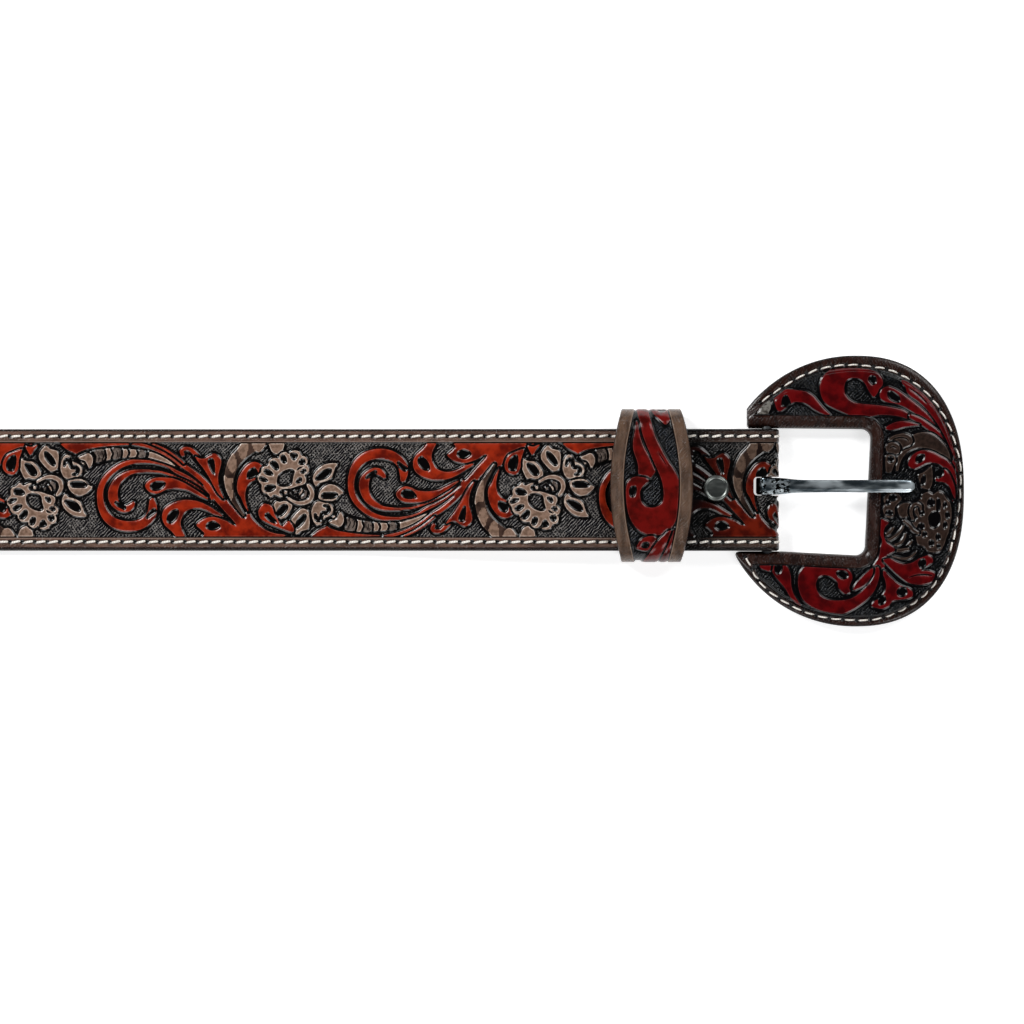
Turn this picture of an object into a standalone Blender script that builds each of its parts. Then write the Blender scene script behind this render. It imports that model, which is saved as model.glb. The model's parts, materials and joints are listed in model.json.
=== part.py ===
# Western tooled belt lying flat, face up, with its buckle open.
# Metres, +Z up. +X runs along the belt towards the buckle, and the origin is under the middle of the belt,
# on the surface that it lies on.

from math import atan2, cos, pi, radians, sin

import bmesh
import bpy
from mathutils import Vector

MM = 0.001
GAP = 0.3 * MM

# Whole belt, as far as it is shown, from the strap's tip to the buckle's outer edge
BELT_LENGTH = 327.4 * MM

# Strap: one thickness of leather, thinned where it folds round the bar and comes back underneath
STRAP_WIDTH = 38.1 * MM
STRAP_THICKNESS = 3.0 * MM
FOLD_THICKNESS = 2.0 * MM
TAIL_END_THICKNESS = 1.0 * MM
STRAP_Y = 0.35 * MM
TIP_LENGTH = 26.0 * MM
TIP_ROUNDNESS = 1.75
EDGE_CHAMFER = 0.45 * MM

# Buckle: outline round the centre of its outer circle, window, and thickness
BUCKLE_RADIUS = 42.4 * MM
BUCKLE_REACH = 34.45 * MM
BUCKLE_SQUARENESS = 2.38
BUCKLE_X = BELT_LENGTH / 2 - BUCKLE_REACH
FRAME_RISE = 1.9 * MM
FRAME_CROWN = 0.8 * MM
WINDOW_TOP_LEFT = 19.87 * MM
WINDOW_TOP_RIGHT = 19.25 * MM
WINDOW_BOTTOM_LEFT = -19.15 * MM
WINDOW_BOTTOM_RIGHT = -20.15 * MM
WINDOW_RIGHT_TOP = 5.1 * MM
WINDOW_RIGHT_BOTTOM = 3.1 * MM
WINDOW_CORNER = 2.9 * MM
UPPER_ARM_END = -33.7 * MM
UPPER_ARM_TOP = 24.6 * MM
LOWER_ARM_END = -36.9 * MM

# Bar, fold, prong and stud, measured from the bar's axis
BAR_X = BUCKLE_X - 27.5 * MM
BAR_Z = 4.6 * MM
BAR_RADIUS = 1.6 * MM
BAR_SOCKET = 6.0 * MM
FOLD_INSIDE = BAR_RADIUS + GAP
FOLD_OUTSIDE = FOLD_INSIDE + FOLD_THICKNESS
SLOT_WIDTH = 6.2 * MM
SLOT_BACK = 4.4 * MM
SLOT_CORNER = 1.8 * MM
PRONG_Y = 1.5 * MM
PRONG_LOOP_INSIDE = BAR_RADIUS + 0.25 * MM
PRONG_LOOP_WALL = 1.5 * MM
STUD_BACK = 15.9 * MM
STUD_Y = 0.9 * MM
STUD_CAP_RADIUS = 4.1 * MM
STUD_POST_RADIUS = 1.6 * MM

# Keeper: a loop of leather round both layers, wider over the front
KEEPER_BACK = 36.2 * MM
KEEPER_Y = 1.7 * MM
KEEPER_THICKNESS = 2.0 * MM
KEEPER_HALF_LENGTH = 23.95 * MM
KEEPER_HALF_WIDTH_END = 9.1 * MM
KEEPER_HALF_WIDTH_BULGE = 3.8 * MM
KEEPER_ROOM = 4.9 * MM
KEEPER_LOW_RADIUS = 3.0 * MM
KEEPER_HIGH_RADIUS = 6.6 * MM
KEEPER_BOW = 0.5 * MM

# Levels of the two layers in the keeper, and how far from the bar they change
TAIL_BOTTOM = KEEPER_THICKNESS + GAP
STRAP_TOP = TAIL_BOTTOM + FOLD_THICKNESS + GAP + STRAP_THICKNESS
STRAP_LIFT_START = 140.0 * MM
TAIL_LENGTH = 60.0 * MM
TAIL_TAPER = 12.0 * MM
FOLD_RISE = 11.0 * MM
TAIL_DIP = 11.0 * MM
THINNING_START = 22.0 * MM
THINNING_END = 5.0 * MM
LEVEL_RUN_STEPS = (44.0 * MM, 30.0 * MM)

BROWN = (0.105, 0.062, 0.045, 1.0)
RED = (0.19, 0.012, 0.010, 1.0)
DARK_RED = (0.085, 0.006, 0.006, 1.0)
NICKEL = (0.46, 0.47, 0.47, 1.0)
DARK_STEEL = (0.20, 0.20, 0.21, 1.0)


def smooth_step(t):
    t = min(1.0, max(0.0, t))
    return t * t * (3.0 - 2.0 * t)


def mix(a, b, t):
    return a + (b - a) * t


def spaced(start, end, count):
    return [mix(start, end, i / (count - 1)) for i in range(count)]


def rounded_corner(before, corner, after, radius, count=7):
    """Points of an arc that rounds the corner between two straight edges."""
    to_before = (before - corner).normalized()
    to_after = (after - corner).normalized()
    half_angle = to_before.angle(to_after) / 2
    centre = corner + (to_before + to_after).normalized() * (radius / sin(half_angle))
    reach = radius * cos(half_angle) / sin(half_angle)
    first = corner + to_before * reach - centre
    last = corner + to_after * reach - centre
    start = atan2(first.y, first.x)
    turn = (atan2(last.y, last.x) - start + pi) % (2 * pi) - pi
    return [
        centre + Vector((cos(start + turn * t), sin(start + turn * t))) * radius
        for t in spaced(0.0, 1.0, count)
    ]


def make_material(name, colour, roughness, metallic):
    material = bpy.data.materials.new(name)
    material.use_nodes = True
    shader = material.node_tree.nodes["Principled BSDF"]
    shader.inputs["Base Color"].default_value = colour
    shader.inputs["Roughness"].default_value = roughness
    shader.inputs["Metallic"].default_value = metallic
    return material


def add_object(name, mesh, collection, material=None):
    obj = bpy.data.objects.new(name, mesh)
    collection.objects.link(obj)
    if material:
        mesh.materials.append(material)
        mesh.shade_smooth()
        mesh.set_sharp_from_angle(angle=radians(35))
    return obj


def loft(name, sections, collection, material, closed=False):
    """Joins sections that have the same number of points, and caps the ends unless it closes on itself."""
    mesh = bpy.data.meshes.new(name)
    build = bmesh.new()
    rings = [[build.verts.new(point) for point in section] for section in sections]
    pairs = list(zip(rings, rings[1:]))
    if closed:
        pairs.append((rings[-1], rings[0]))
    else:
        build.faces.new(rings[0])
        build.faces.new(rings[-1][::-1])
    for first, second in pairs:
        for i in range(len(first)):
            j = (i + 1) % len(first)
            build.faces.new((first[i], second[i], second[j], first[j]))
    bmesh.ops.recalc_face_normals(build, faces=build.faces)
    build.to_mesh(mesh)
    build.free()
    return add_object(name, mesh, collection, material)


def cut(obj, cutter):
    """Cuts one closed mesh from another and keeps the cutter out of the render."""
    cutter.hide_render = True
    cutter.display_type = "WIRE"
    boolean = obj.modifiers.new("cut_" + cutter.name, "BOOLEAN")
    boolean.operation = "DIFFERENCE"
    boolean.object = cutter


def add_cylinder(name, radius, length, centre, along_y, collection, material=None, sides=32):
    mesh = bpy.data.meshes.new(name)
    build = bmesh.new()
    bmesh.ops.create_cone(
        build, cap_ends=True, segments=sides, radius1=radius, radius2=radius, depth=length
    )
    build.to_mesh(mesh)
    build.free()
    obj = add_object(name, mesh, collection, material)
    obj.location = centre
    if along_y:
        obj.rotation_euler = (pi / 2, 0, 0)
    return obj


# Strap

def strap_top(back):
    """Height of the strap's face, at a distance back from the bar."""
    lift = smooth_step((STRAP_LIFT_START - back) / (STRAP_LIFT_START - TAIL_LENGTH))
    rise = smooth_step((FOLD_RISE - back) / FOLD_RISE)
    over_keeper = mix(STRAP_THICKNESS, STRAP_TOP, lift)
    return mix(over_keeper, BAR_Z + FOLD_OUTSIDE, rise)


def strap_thickness(back):
    thinning = smooth_step((THINNING_START - back) / (THINNING_START - THINNING_END))
    return mix(STRAP_THICKNESS, FOLD_THICKNESS, thinning)


def tail_bottom(back):
    return mix(BAR_Z - FOLD_OUTSIDE, TAIL_BOTTOM, smooth_step(back / TAIL_DIP))


def tail_thickness(back):
    taper = (back - (TAIL_LENGTH - TAIL_TAPER)) / TAIL_TAPER
    return mix(FOLD_THICKNESS, TAIL_END_THICKNESS, smooth_step(taper))


def tip_half_width(from_tip):
    """Half the strap's width at a distance from its end, which is a rounded point."""
    t = min(1.0, from_tip / TIP_LENGTH)
    return STRAP_WIDTH / 2 * (1.0 - (1.0 - t) ** TIP_ROUNDNESS) ** (1.0 / TIP_ROUNDNESS)


def strap_section(face_point, back_point, half_width):
    """Eight corners of the strap across its width, from its grain side and flesh side in the XZ plane."""
    face = Vector(face_point)
    inward = Vector(back_point) - face
    chamfer = min(EDGE_CHAMFER, half_width * 0.5)
    step = inward.normalized() * min(EDGE_CHAMFER, inward.length * 0.4)
    corners = [
        (face, half_width - chamfer),
        (face + step, half_width),
        (face + inward - step, half_width),
        (face + inward, half_width - chamfer),
    ]
    near = [(p.x, STRAP_Y - w, p.y) for p, w in corners]
    far = [(p.x, STRAP_Y + w, p.y) for p, w in reversed(corners)]
    return near + far


def strap_sections():
    tip_back = BAR_X + BELT_LENGTH / 2
    sections = []
    tip_steps = [TIP_LENGTH * (1.0 - cos(a)) for a in spaced(radians(4), pi / 2, 14)]
    lift_steps = spaced(STRAP_LIFT_START, TAIL_LENGTH, 13)
    rise_steps = list(LEVEL_RUN_STEPS) + spaced(THINNING_START, 0.0, 13)[:-1]
    backs = [tip_back - d for d in tip_steps] + lift_steps + rise_steps
    for back in backs:
        top = strap_top(back)
        x = BAR_X - back
        face, flesh = (x, top), (x, top - strap_thickness(back))
        sections.append(strap_section(face, flesh, tip_half_width(tip_back - back)))
    for angle in spaced(pi / 2, -pi / 2, 17):
        out = Vector((cos(angle), sin(angle)))
        centre = Vector((BAR_X, BAR_Z))
        face, flesh = centre + out * FOLD_OUTSIDE, centre + out * FOLD_INSIDE
        sections.append(strap_section(face, flesh, STRAP_WIDTH / 2))
    dip_steps = spaced(0.0, TAIL_DIP, 8)[1:]
    for back in dip_steps + [LEVEL_RUN_STEPS[-1]] + spaced(TAIL_LENGTH - TAIL_TAPER, TAIL_LENGTH, 5):
        bottom = tail_bottom(back)
        x = BAR_X - back
        face, flesh = (x, bottom), (x, bottom + tail_thickness(back))
        sections.append(strap_section(face, flesh, STRAP_WIDTH / 2))
    return sections


def slot_cutter(collection):
    """The prong's slot through both layers, open at the fold, with rounded corners at its end."""
    far, near = PRONG_Y + SLOT_WIDTH / 2, PRONG_Y - SLOT_WIDTH / 2
    back, open_end = BAR_X - SLOT_BACK, BAR_X + 2 * FOLD_OUTSIDE
    corners = [Vector(p) for p in ((open_end, far), (back, far), (back, near), (open_end, near))]
    outline = [corners[0]]
    outline += rounded_corner(corners[0], corners[1], corners[2], SLOT_CORNER)
    outline += rounded_corner(corners[1], corners[2], corners[3], SLOT_CORNER)
    outline.append(corners[3])
    levels = (BAR_Z - 2 * FOLD_OUTSIDE, BAR_Z + 2 * FOLD_OUTSIDE)
    sections = [[(p.x, p.y, z) for p in outline] for z in levels]
    return loft("slot_cutter", sections, collection, None)


def add_strap(parts, cutters, material):
    strap = loft("strap", strap_sections(), parts, material)
    cut(strap, slot_cutter(cutters))
    hole_centre = (BAR_X - STUD_BACK, STUD_Y, STRAP_TOP / 2)
    hole = add_cylinder(
        "stud_hole_cutter", STUD_POST_RADIUS + GAP, 3 * STRAP_TOP, hole_centre, False, cutters
    )
    cut(strap, hole)


# Buckle frame

def outer_edge(angle):
    """Point on the buckle's outline: a circle on the strap's side and a squarer curve on the far side."""
    c, s = cos(angle), sin(angle)
    if c <= 0:
        radius = BUCKLE_RADIUS
    else:
        n = BUCKLE_SQUARENESS
        radius = (abs(c / BUCKLE_REACH) ** n + abs(s / BUCKLE_RADIUS) ** n) ** (-1.0 / n)
    return Vector((radius * c, radius * s))


def window_edge():
    """The inner edge from the upper arm's end, round the window, to the lower arm's end."""
    upper = Vector((UPPER_ARM_END, WINDOW_TOP_LEFT))
    top_right = Vector((WINDOW_RIGHT_TOP, WINDOW_TOP_RIGHT))
    bottom_right = Vector((WINDOW_RIGHT_BOTTOM, WINDOW_BOTTOM_RIGHT))
    lower = Vector((LOWER_ARM_END, WINDOW_BOTTOM_LEFT))
    top_arc = rounded_corner(upper, top_right, bottom_right, WINDOW_CORNER)
    bottom_arc = rounded_corner(top_right, bottom_right, lower, WINDOW_CORNER)
    return [upper] + top_arc + bottom_arc + [lower]


def along(path, distance):
    """The point at a distance along a path of points."""
    for a, b in zip(path, path[1:]):
        length = (b - a).length
        if distance <= length:
            return a + (b - a) * (distance / length)
        distance -= length
    return path[-1]


# One row a section: how far round the window's edge it starts, as a share of that edge's length,
# and the direction of its outer end from the centre of the outline, in degrees.
FRAME_ROWS = (
    {"inner": 0.000, "outer": 143.5},
    {"inner": 0.060, "outer": 132.0},
    {"inner": 0.160, "outer": 112.0},
    {"inner": 0.260, "outer": 90.0},
    {"inner": 0.330, "outer": 66.0},
    {"inner": 0.365, "outer": 50.0},
    {"inner": 0.430, "outer": 26.0},
    {"inner": 0.500, "outer": 0.0},
    {"inner": 0.570, "outer": -26.0},
    {"inner": 0.640, "outer": -52.0},
    {"inner": 0.675, "outer": -68.0},
    {"inner": 0.740, "outer": -90.0},
    {"inner": 0.840, "outer": -112.0},
    {"inner": 0.940, "outer": -138.0},
    {"inner": 0.985, "outer": -149.0},
    {"inner": 1.000, "outer": -151.8},
)
FRAME_SECTIONS_PER_ROW = 4

# The section's outline: distance in from the outer or the inner edge, and height, in mm
FRAME_PROFILE = (
    {"from": "outer", "in": 0.7, "height": 0.0},
    {"from": "outer", "in": 0.0, "height": 0.7},
    {"from": "outer", "in": 0.0, "height": 2.5},
    {"from": "outer", "in": 0.6, "height": 3.1},
    {"from": "outer", "in": 2.9, "height": 3.5},
    {"from": "outer", "in": 4.2, "height": 4.8},
    {"from": "outer", "in": 6.4, "height": 5.5},
    {"from": "inner", "in": 4.8, "height": 5.6},
    {"from": "inner", "in": 2.0, "height": 5.0},
    {"from": "inner", "in": 0.5, "height": 3.9},
    {"from": "inner", "in": 0.0, "height": 2.7},
    {"from": "inner", "in": 0.0, "height": 0.9},
    {"from": "inner", "in": 0.7, "height": 0.0},
)
FULL_SECTION_WIDTH = 12.5 * MM


def frame_base(x):
    """Height of the frame's back: it stands on its far edge and bows up towards the bar."""
    t = (BUCKLE_REACH - x) / (BUCKLE_REACH + BUCKLE_RADIUS)
    return FRAME_RISE * t + 4 * FRAME_CROWN * t * (1 - t)


def frame_section(inner, outer):
    width = (outer - inner).length
    squeeze = min(1.0, width / FULL_SECTION_WIDTH)
    lowering = mix(0.72, 1.0, smooth_step(width / FULL_SECTION_WIDTH))
    across = (outer - inner).normalized()
    section = []
    for row in FRAME_PROFILE:
        inward = row["in"] * MM * squeeze
        if row["from"] == "outer":
            point = outer - across * inward
        else:
            point = inner + across * inward
        height = frame_base(point.x) + row["height"] * MM * lowering
        section.append((BUCKLE_X + point.x, point.y, height))
    return section


def frame_sections():
    window = window_edge()
    window_length = sum((b - a).length for a, b in zip(window, window[1:]))
    sections = []
    for row, following in zip(FRAME_ROWS, FRAME_ROWS[1:]):
        for step in range(FRAME_SECTIONS_PER_ROW):
            t = step / FRAME_SECTIONS_PER_ROW
            inner = along(window, window_length * mix(row["inner"], following["inner"], t))
            outer = outer_edge(radians(mix(row["outer"], following["outer"], t)))
            if outer.x < UPPER_ARM_END and outer.y > 0:
                outer = Vector((UPPER_ARM_END, min(outer.y, UPPER_ARM_TOP)))
            sections.append(frame_section(inner, outer))
    lower_end = outer_edge(radians(FRAME_ROWS[-1]["outer"]))
    sections.append(frame_section(window[-1], lower_end))
    return sections


def bar_centre():
    return Vector((BAR_X, (WINDOW_TOP_LEFT + WINDOW_BOTTOM_LEFT) / 2, BAR_Z))


def bar_length():
    return WINDOW_TOP_LEFT - WINDOW_BOTTOM_LEFT + 2 * BAR_SOCKET


def add_frame(parts, cutters, material):
    frame = loft("buckle_frame", frame_sections(), parts, material)
    socket = add_cylinder(
        "bar_socket_cutter", BAR_RADIUS + GAP, bar_length() + 2 * GAP, bar_centre(), True, cutters
    )
    cut(frame, socket)


def add_bar(parts, material):
    add_cylinder("buckle_bar", BAR_RADIUS, bar_length(), bar_centre(), True, parts, material)


# Prong: a hook round the bar, then a shank that rises to lie on the far side of the frame.
# One row a section: distance from the bar's axis, height over the axis, width and thickness, in mm.
PRONG_ROWS = (
    {"out": 0.0, "up": 2.60, "width": 5.3, "thick": 1.5},
    {"out": 2.5, "up": 2.42, "width": 5.3, "thick": 2.1},
    {"out": 5.5, "up": 2.48, "width": 4.9, "thick": 2.5},
    {"out": 9.5, "up": 2.66, "width": 4.15, "thick": 2.6},
    {"out": 17.0, "up": 3.08, "width": 3.95, "thick": 2.55},
    {"out": 27.0, "up": 3.62, "width": 3.9, "thick": 2.5},
    {"out": 34.5, "up": 3.88, "width": 3.9, "thick": 2.4},
    {"out": 40.0, "up": 3.72, "width": 3.9, "thick": 2.2},
    {"out": 43.9, "up": 3.42, "width": 3.8, "thick": 2.0},
    {"out": 45.1, "up": 3.30, "width": 3.0, "thick": 1.7},
    {"out": 45.9, "up": 3.22, "width": 1.6, "thick": 1.0},
)
HOOK_END = radians(-15)


def prong_section(centre, normal, width, thick):
    """Eight corners of a bar with broken edges, around a point in the XZ plane."""
    half, side = thick / 2, width / 2
    chamfer = min(0.55 * MM, half * 0.5)
    corners = [
        (half, side - chamfer),
        (half - chamfer, side),
        (chamfer - half, side),
        (-half, side - chamfer),
    ]
    far = [(normal * h, s) for h, s in corners]
    near = [(normal * h, -s) for h, s in reversed(corners)]
    return [
        (centre.x + n.x, PRONG_Y + s, centre.y + n.y) for n, s in far + near
    ]


def prong_sections():
    axis = Vector((BAR_X, BAR_Z))
    middle = PRONG_LOOP_INSIDE + PRONG_LOOP_WALL / 2
    loop_width = PRONG_ROWS[0]["width"] * MM
    sections = []
    for angle in spaced(HOOK_END, HOOK_END - 2 * pi + (pi / 2 - HOOK_END), 18)[:-1]:
        out = Vector((cos(angle), sin(angle)))
        sections.append(prong_section(axis + out * middle, out, loop_width, PRONG_LOOP_WALL))
    points = [axis + Vector((row["out"], row["up"])) * MM for row in PRONG_ROWS]
    for i, row in enumerate(PRONG_ROWS):
        before = points[max(0, i - 1)]
        after = points[min(len(points) - 1, i + 1)]
        run = (after - before).normalized()
        normal = Vector((-run.y, run.x))
        if i == 0:
            normal = Vector((0, 1))
        sections.append(prong_section(points[i], normal, row["width"] * MM, row["thick"] * MM))
    return sections


# Stud: a low cap over the strap, a post through both layers and a flange underneath
def add_stud(parts, material):
    top = STRAP_TOP + GAP
    bottom = TAIL_BOTTOM - GAP
    profile = (
        (0.0, top + 1.05 * MM),
        (2.9 * MM, top + 0.95 * MM),
        (3.3 * MM, top + 1.15 * MM),
        (3.8 * MM, top + 1.0 * MM),
        (STUD_CAP_RADIUS, top + 0.5 * MM),
        (STUD_CAP_RADIUS, top),
        (STUD_POST_RADIUS, top),
        (STUD_POST_RADIUS, bottom),
        (4.4 * MM, bottom),
        (4.4 * MM, bottom - 0.5 * MM),
        (3.8 * MM, bottom - 0.9 * MM),
        (0.0, bottom - 0.9 * MM),
    )
    mesh = bpy.data.meshes.new("stud")
    edges = [(i, i + 1) for i in range(len(profile) - 1)]
    mesh.from_pydata([(r, 0.0, z) for r, z in profile], edges, [])
    stud = add_object("stud", mesh, parts, material)
    stud.location = (BAR_X - STUD_BACK, STUD_Y, 0)
    screw = stud.modifiers.new("turned", "SCREW")
    screw.steps = screw.render_steps = 32
    screw.use_merge_vertices = True
    screw.merge_threshold = 0.00005
    screw.use_smooth_shade = True


# Keeper

def keeper_half_width(y):
    t = min(1.0, abs(y) / KEEPER_HALF_LENGTH)
    return KEEPER_HALF_WIDTH_END + KEEPER_HALF_WIDTH_BULGE * (1 - t * t)


def keeper_path():
    """The loop's middle line in the YZ plane, with its outward normals."""
    half = KEEPER_THICKNESS / 2
    top = STRAP_TOP + KEEPER_ROOM + half
    side = KEEPER_HALF_LENGTH - half
    low_y, low_z = side - KEEPER_LOW_RADIUS, half + KEEPER_LOW_RADIUS
    high_y, high_z = side - KEEPER_HIGH_RADIUS, top - KEEPER_BOW - KEEPER_HIGH_RADIUS
    low = [(low_y, low_z, a, KEEPER_LOW_RADIUS) for a in spaced(-90, 0, 7)]
    high = [(high_y, high_z, a, KEEPER_HIGH_RADIUS) for a in spaced(0, 82, 9)]
    right = []
    for y, z, degrees, radius in low + high:
        out = Vector((cos(radians(degrees)), sin(radians(degrees))))
        right.append((Vector((y, z)) + out * radius, out))
    start = right[-1][0]
    front = []
    for t in spaced(0.0, 1.0, 6)[1:]:
        y = start.x * (1 - t)
        z = top - (top - start.y) * (y / start.x) ** 2
        slope = 2 * (top - start.y) * y / start.x**2
        front.append((Vector((y, z)), Vector((slope, 1)).normalized()))
    half_loop = right + front
    mirrored = [
        (Vector((-p.x, p.y)), Vector((-n.x, n.y))) for p, n in reversed(half_loop[:-1])
    ]
    return half_loop + mirrored


def keeper_sections():
    half = KEEPER_THICKNESS / 2
    chamfer = 0.4 * MM
    sections = []
    for point, out in keeper_path():
        on_back = out.y < -0.9
        width = KEEPER_HALF_WIDTH_END if on_back else keeper_half_width(point.x)
        corners = [
            (half, width - chamfer),
            (half - chamfer, width),
            (chamfer - half, width),
            (-half, width - chamfer),
        ]
        right = [(point + out * h, w) for h, w in corners]
        left = [(point + out * h, -w) for h, w in reversed(corners)]
        sections.append(
            [(BAR_X - KEEPER_BACK + w, KEEPER_Y + p.x, p.y) for p, w in right + left]
        )
    return sections


def make_belt():
    for obj in list(bpy.data.objects):
        bpy.data.objects.remove(obj)
    parts = bpy.data.collections.new("western_tooled_belt")
    cutters = bpy.data.collections.new("cutters")
    for collection in (parts, cutters):
        bpy.context.scene.collection.children.link(collection)
    add_strap(parts, cutters, make_material("strap_leather", BROWN, 0.45, 0.0))
    loft("keeper", keeper_sections(), parts, make_material("keeper_leather", RED, 0.4, 0.0), True)
    add_frame(parts, cutters, make_material("buckle_leather", DARK_RED, 0.35, 0.0))
    add_bar(parts, make_material("bar_steel", DARK_STEEL, 0.5, 1.0))
    nickel = make_material("aged_nickel", NICKEL, 0.3, 1.0)
    loft("prong", prong_sections(), parts, nickel)
    add_stud(parts, make_material("stud_nickel", NICKEL, 0.4, 1.0))


make_belt()
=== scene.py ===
import json
import math

import bmesh
import bpy
import numpy as np
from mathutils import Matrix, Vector
from mathutils.bvhtree import BVHTree


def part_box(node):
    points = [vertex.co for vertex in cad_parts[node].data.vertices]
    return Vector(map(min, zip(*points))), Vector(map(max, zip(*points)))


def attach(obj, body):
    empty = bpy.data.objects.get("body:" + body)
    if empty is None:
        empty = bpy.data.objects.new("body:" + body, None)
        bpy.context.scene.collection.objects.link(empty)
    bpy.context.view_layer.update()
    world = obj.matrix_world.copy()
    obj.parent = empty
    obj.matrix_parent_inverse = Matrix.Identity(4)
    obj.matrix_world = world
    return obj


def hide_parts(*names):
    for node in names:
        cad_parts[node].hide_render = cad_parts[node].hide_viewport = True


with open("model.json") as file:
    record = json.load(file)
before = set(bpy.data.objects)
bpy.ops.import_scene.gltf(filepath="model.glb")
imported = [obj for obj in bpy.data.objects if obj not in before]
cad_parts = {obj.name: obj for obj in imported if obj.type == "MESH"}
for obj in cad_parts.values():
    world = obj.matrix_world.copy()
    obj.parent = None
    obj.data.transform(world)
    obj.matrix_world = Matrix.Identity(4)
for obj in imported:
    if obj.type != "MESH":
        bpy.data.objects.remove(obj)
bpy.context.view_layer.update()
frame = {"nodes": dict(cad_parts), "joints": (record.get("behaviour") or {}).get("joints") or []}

mm = 0.001

# The belt lies flat and is seen from straight above, so a pixel of the photograph is a length on it
photo = {"mmPerPixel": 0.3123, "originX": 441.1, "originY": 491.0, "centre": 512.0, "width": 1024}

joints = {joint["name"]: joint for joint in frame["joints"]}
barX, _, barZ = [value / mm for value in joints["frame_swing"]["pos_m"]]
prongY = joints["prong_swing"]["pos_m"][1] / mm


def fromPixel(x, y):  # all lengths are in mm until a mesh is made
    return (x - photo["originX"]) * photo["mmPerPixel"], (photo["originY"] - y) * photo["mmPerPixel"]


def toPixel(x, y):
    return x / photo["mmPerPixel"] + photo["originX"], photo["originY"] - y / photo["mmPerPixel"]


def smoothStep(t):
    t = np.clip(t, 0.0, 1.0)
    return t * t * (3.0 - 2.0 * t)


def mix(a, b, t):
    return a + (b - a) * t


def toLinear(hexColour):  # sRGB hex to linear RGBA
    channels = [int(hexColour[i:i + 2], 16) / 255 for i in (1, 3, 5)]
    linear = [c / 12.92 if c <= 0.04045 else ((c + 0.055) / 1.055) ** 2.4 for c in channels]
    return (*linear, 1.0)


# Tooling. A cut shape is a closed outline ("patch") or a line with a changing half width ("band"), charted
# in pixels of the photograph. Later cuts lie over earlier ones.

def smoothRows(rows, closed, steps=5):  # Catmull-Rom curve through the rows
    rows = np.array(rows, dtype=float)
    if closed:
        before, after, after2 = np.roll(rows, 1, 0), np.roll(rows, -1, 0), np.roll(rows, -2, 0)
    else:
        before = np.vstack([2 * rows[:1] - rows[1:2], rows[:-2]])
        after2 = np.vstack([rows[2:], 2 * rows[-1:] - rows[-2:-1]])
        rows, after = rows[:-1], rows[1:]
    pieces = []
    for t in np.arange(steps) / steps:
        pieces.append(0.5 * (
            2 * rows + (after - before) * t
            + (2 * before - 5 * rows + 4 * after - after2) * t * t
            + (3 * rows - before - 3 * after + after2) * t ** 3
        ))
    curve = np.stack(pieces, 1).reshape(-1, rows.shape[1])
    return curve if closed else np.vstack([curve, after[-1:]])


def segmentDistance(points, starts, ends):  # to each segment, and how far along it the nearest point is
    along = ends - starts
    offset = points[:, None, :] - starts[None]
    length2 = np.maximum((along ** 2).sum(1), 1e-9)
    t = np.clip((offset * along[None]).sum(2) / length2[None], 0.0, 1.0)
    gap = offset - along[None] * t[..., None]
    return np.sqrt((gap ** 2).sum(2)), t


def lineDistance(points, line, chunk=3000):  # distance to the nearest point of an open line
    parts = [
        segmentDistance(points[i:i + chunk], line[:-1], line[1:])[0].min(1)
        for i in range(0, len(points), chunk)
    ]
    return np.concatenate(parts)


def pointDistance(points, centres, chunk=3000):
    parts = [
        np.sqrt(((points[i:i + chunk, None] - centres[None]) ** 2).sum(2)).min(1)
        for i in range(0, len(points), chunk)
    ]
    return np.concatenate(parts)


def cutDistance(points, cut):  # below zero inside the cut shape
    if cut["form"] == "band":
        line = smoothRows(cut["rows"], False)
        distance, t = segmentDistance(points, line[:-1, :2], line[1:, :2])
        width = line[:-1, 2][None] * (1 - t) + line[1:, 2][None] * t
        return (distance - width).min(1)
    line = smoothRows(cut["rows"], True)
    ends = np.roll(line, -1, 0)
    distance, _ = segmentDistance(points, line, ends)
    x, y = points[:, 0][:, None], points[:, 1][:, None]
    crosses = (line[None, :, 1] > y) != (ends[None, :, 1] > y)
    rise = np.where(ends[:, 1] == line[:, 1], 1e-9, ends[:, 1] - line[:, 1])
    reach = line[None, :, 0] + (y - line[None, :, 1]) * (ends - line)[None, :, 0] / rise[None]
    isInside = (crosses & (x < reach)).sum(1) % 2 == 1
    nearest = distance.min(1)
    return np.where(isInside, -nearest, nearest)


toneValue = {"red": 0.0, "tan": 1.0, "brown": 2.0, "worn": 3.0}


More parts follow.
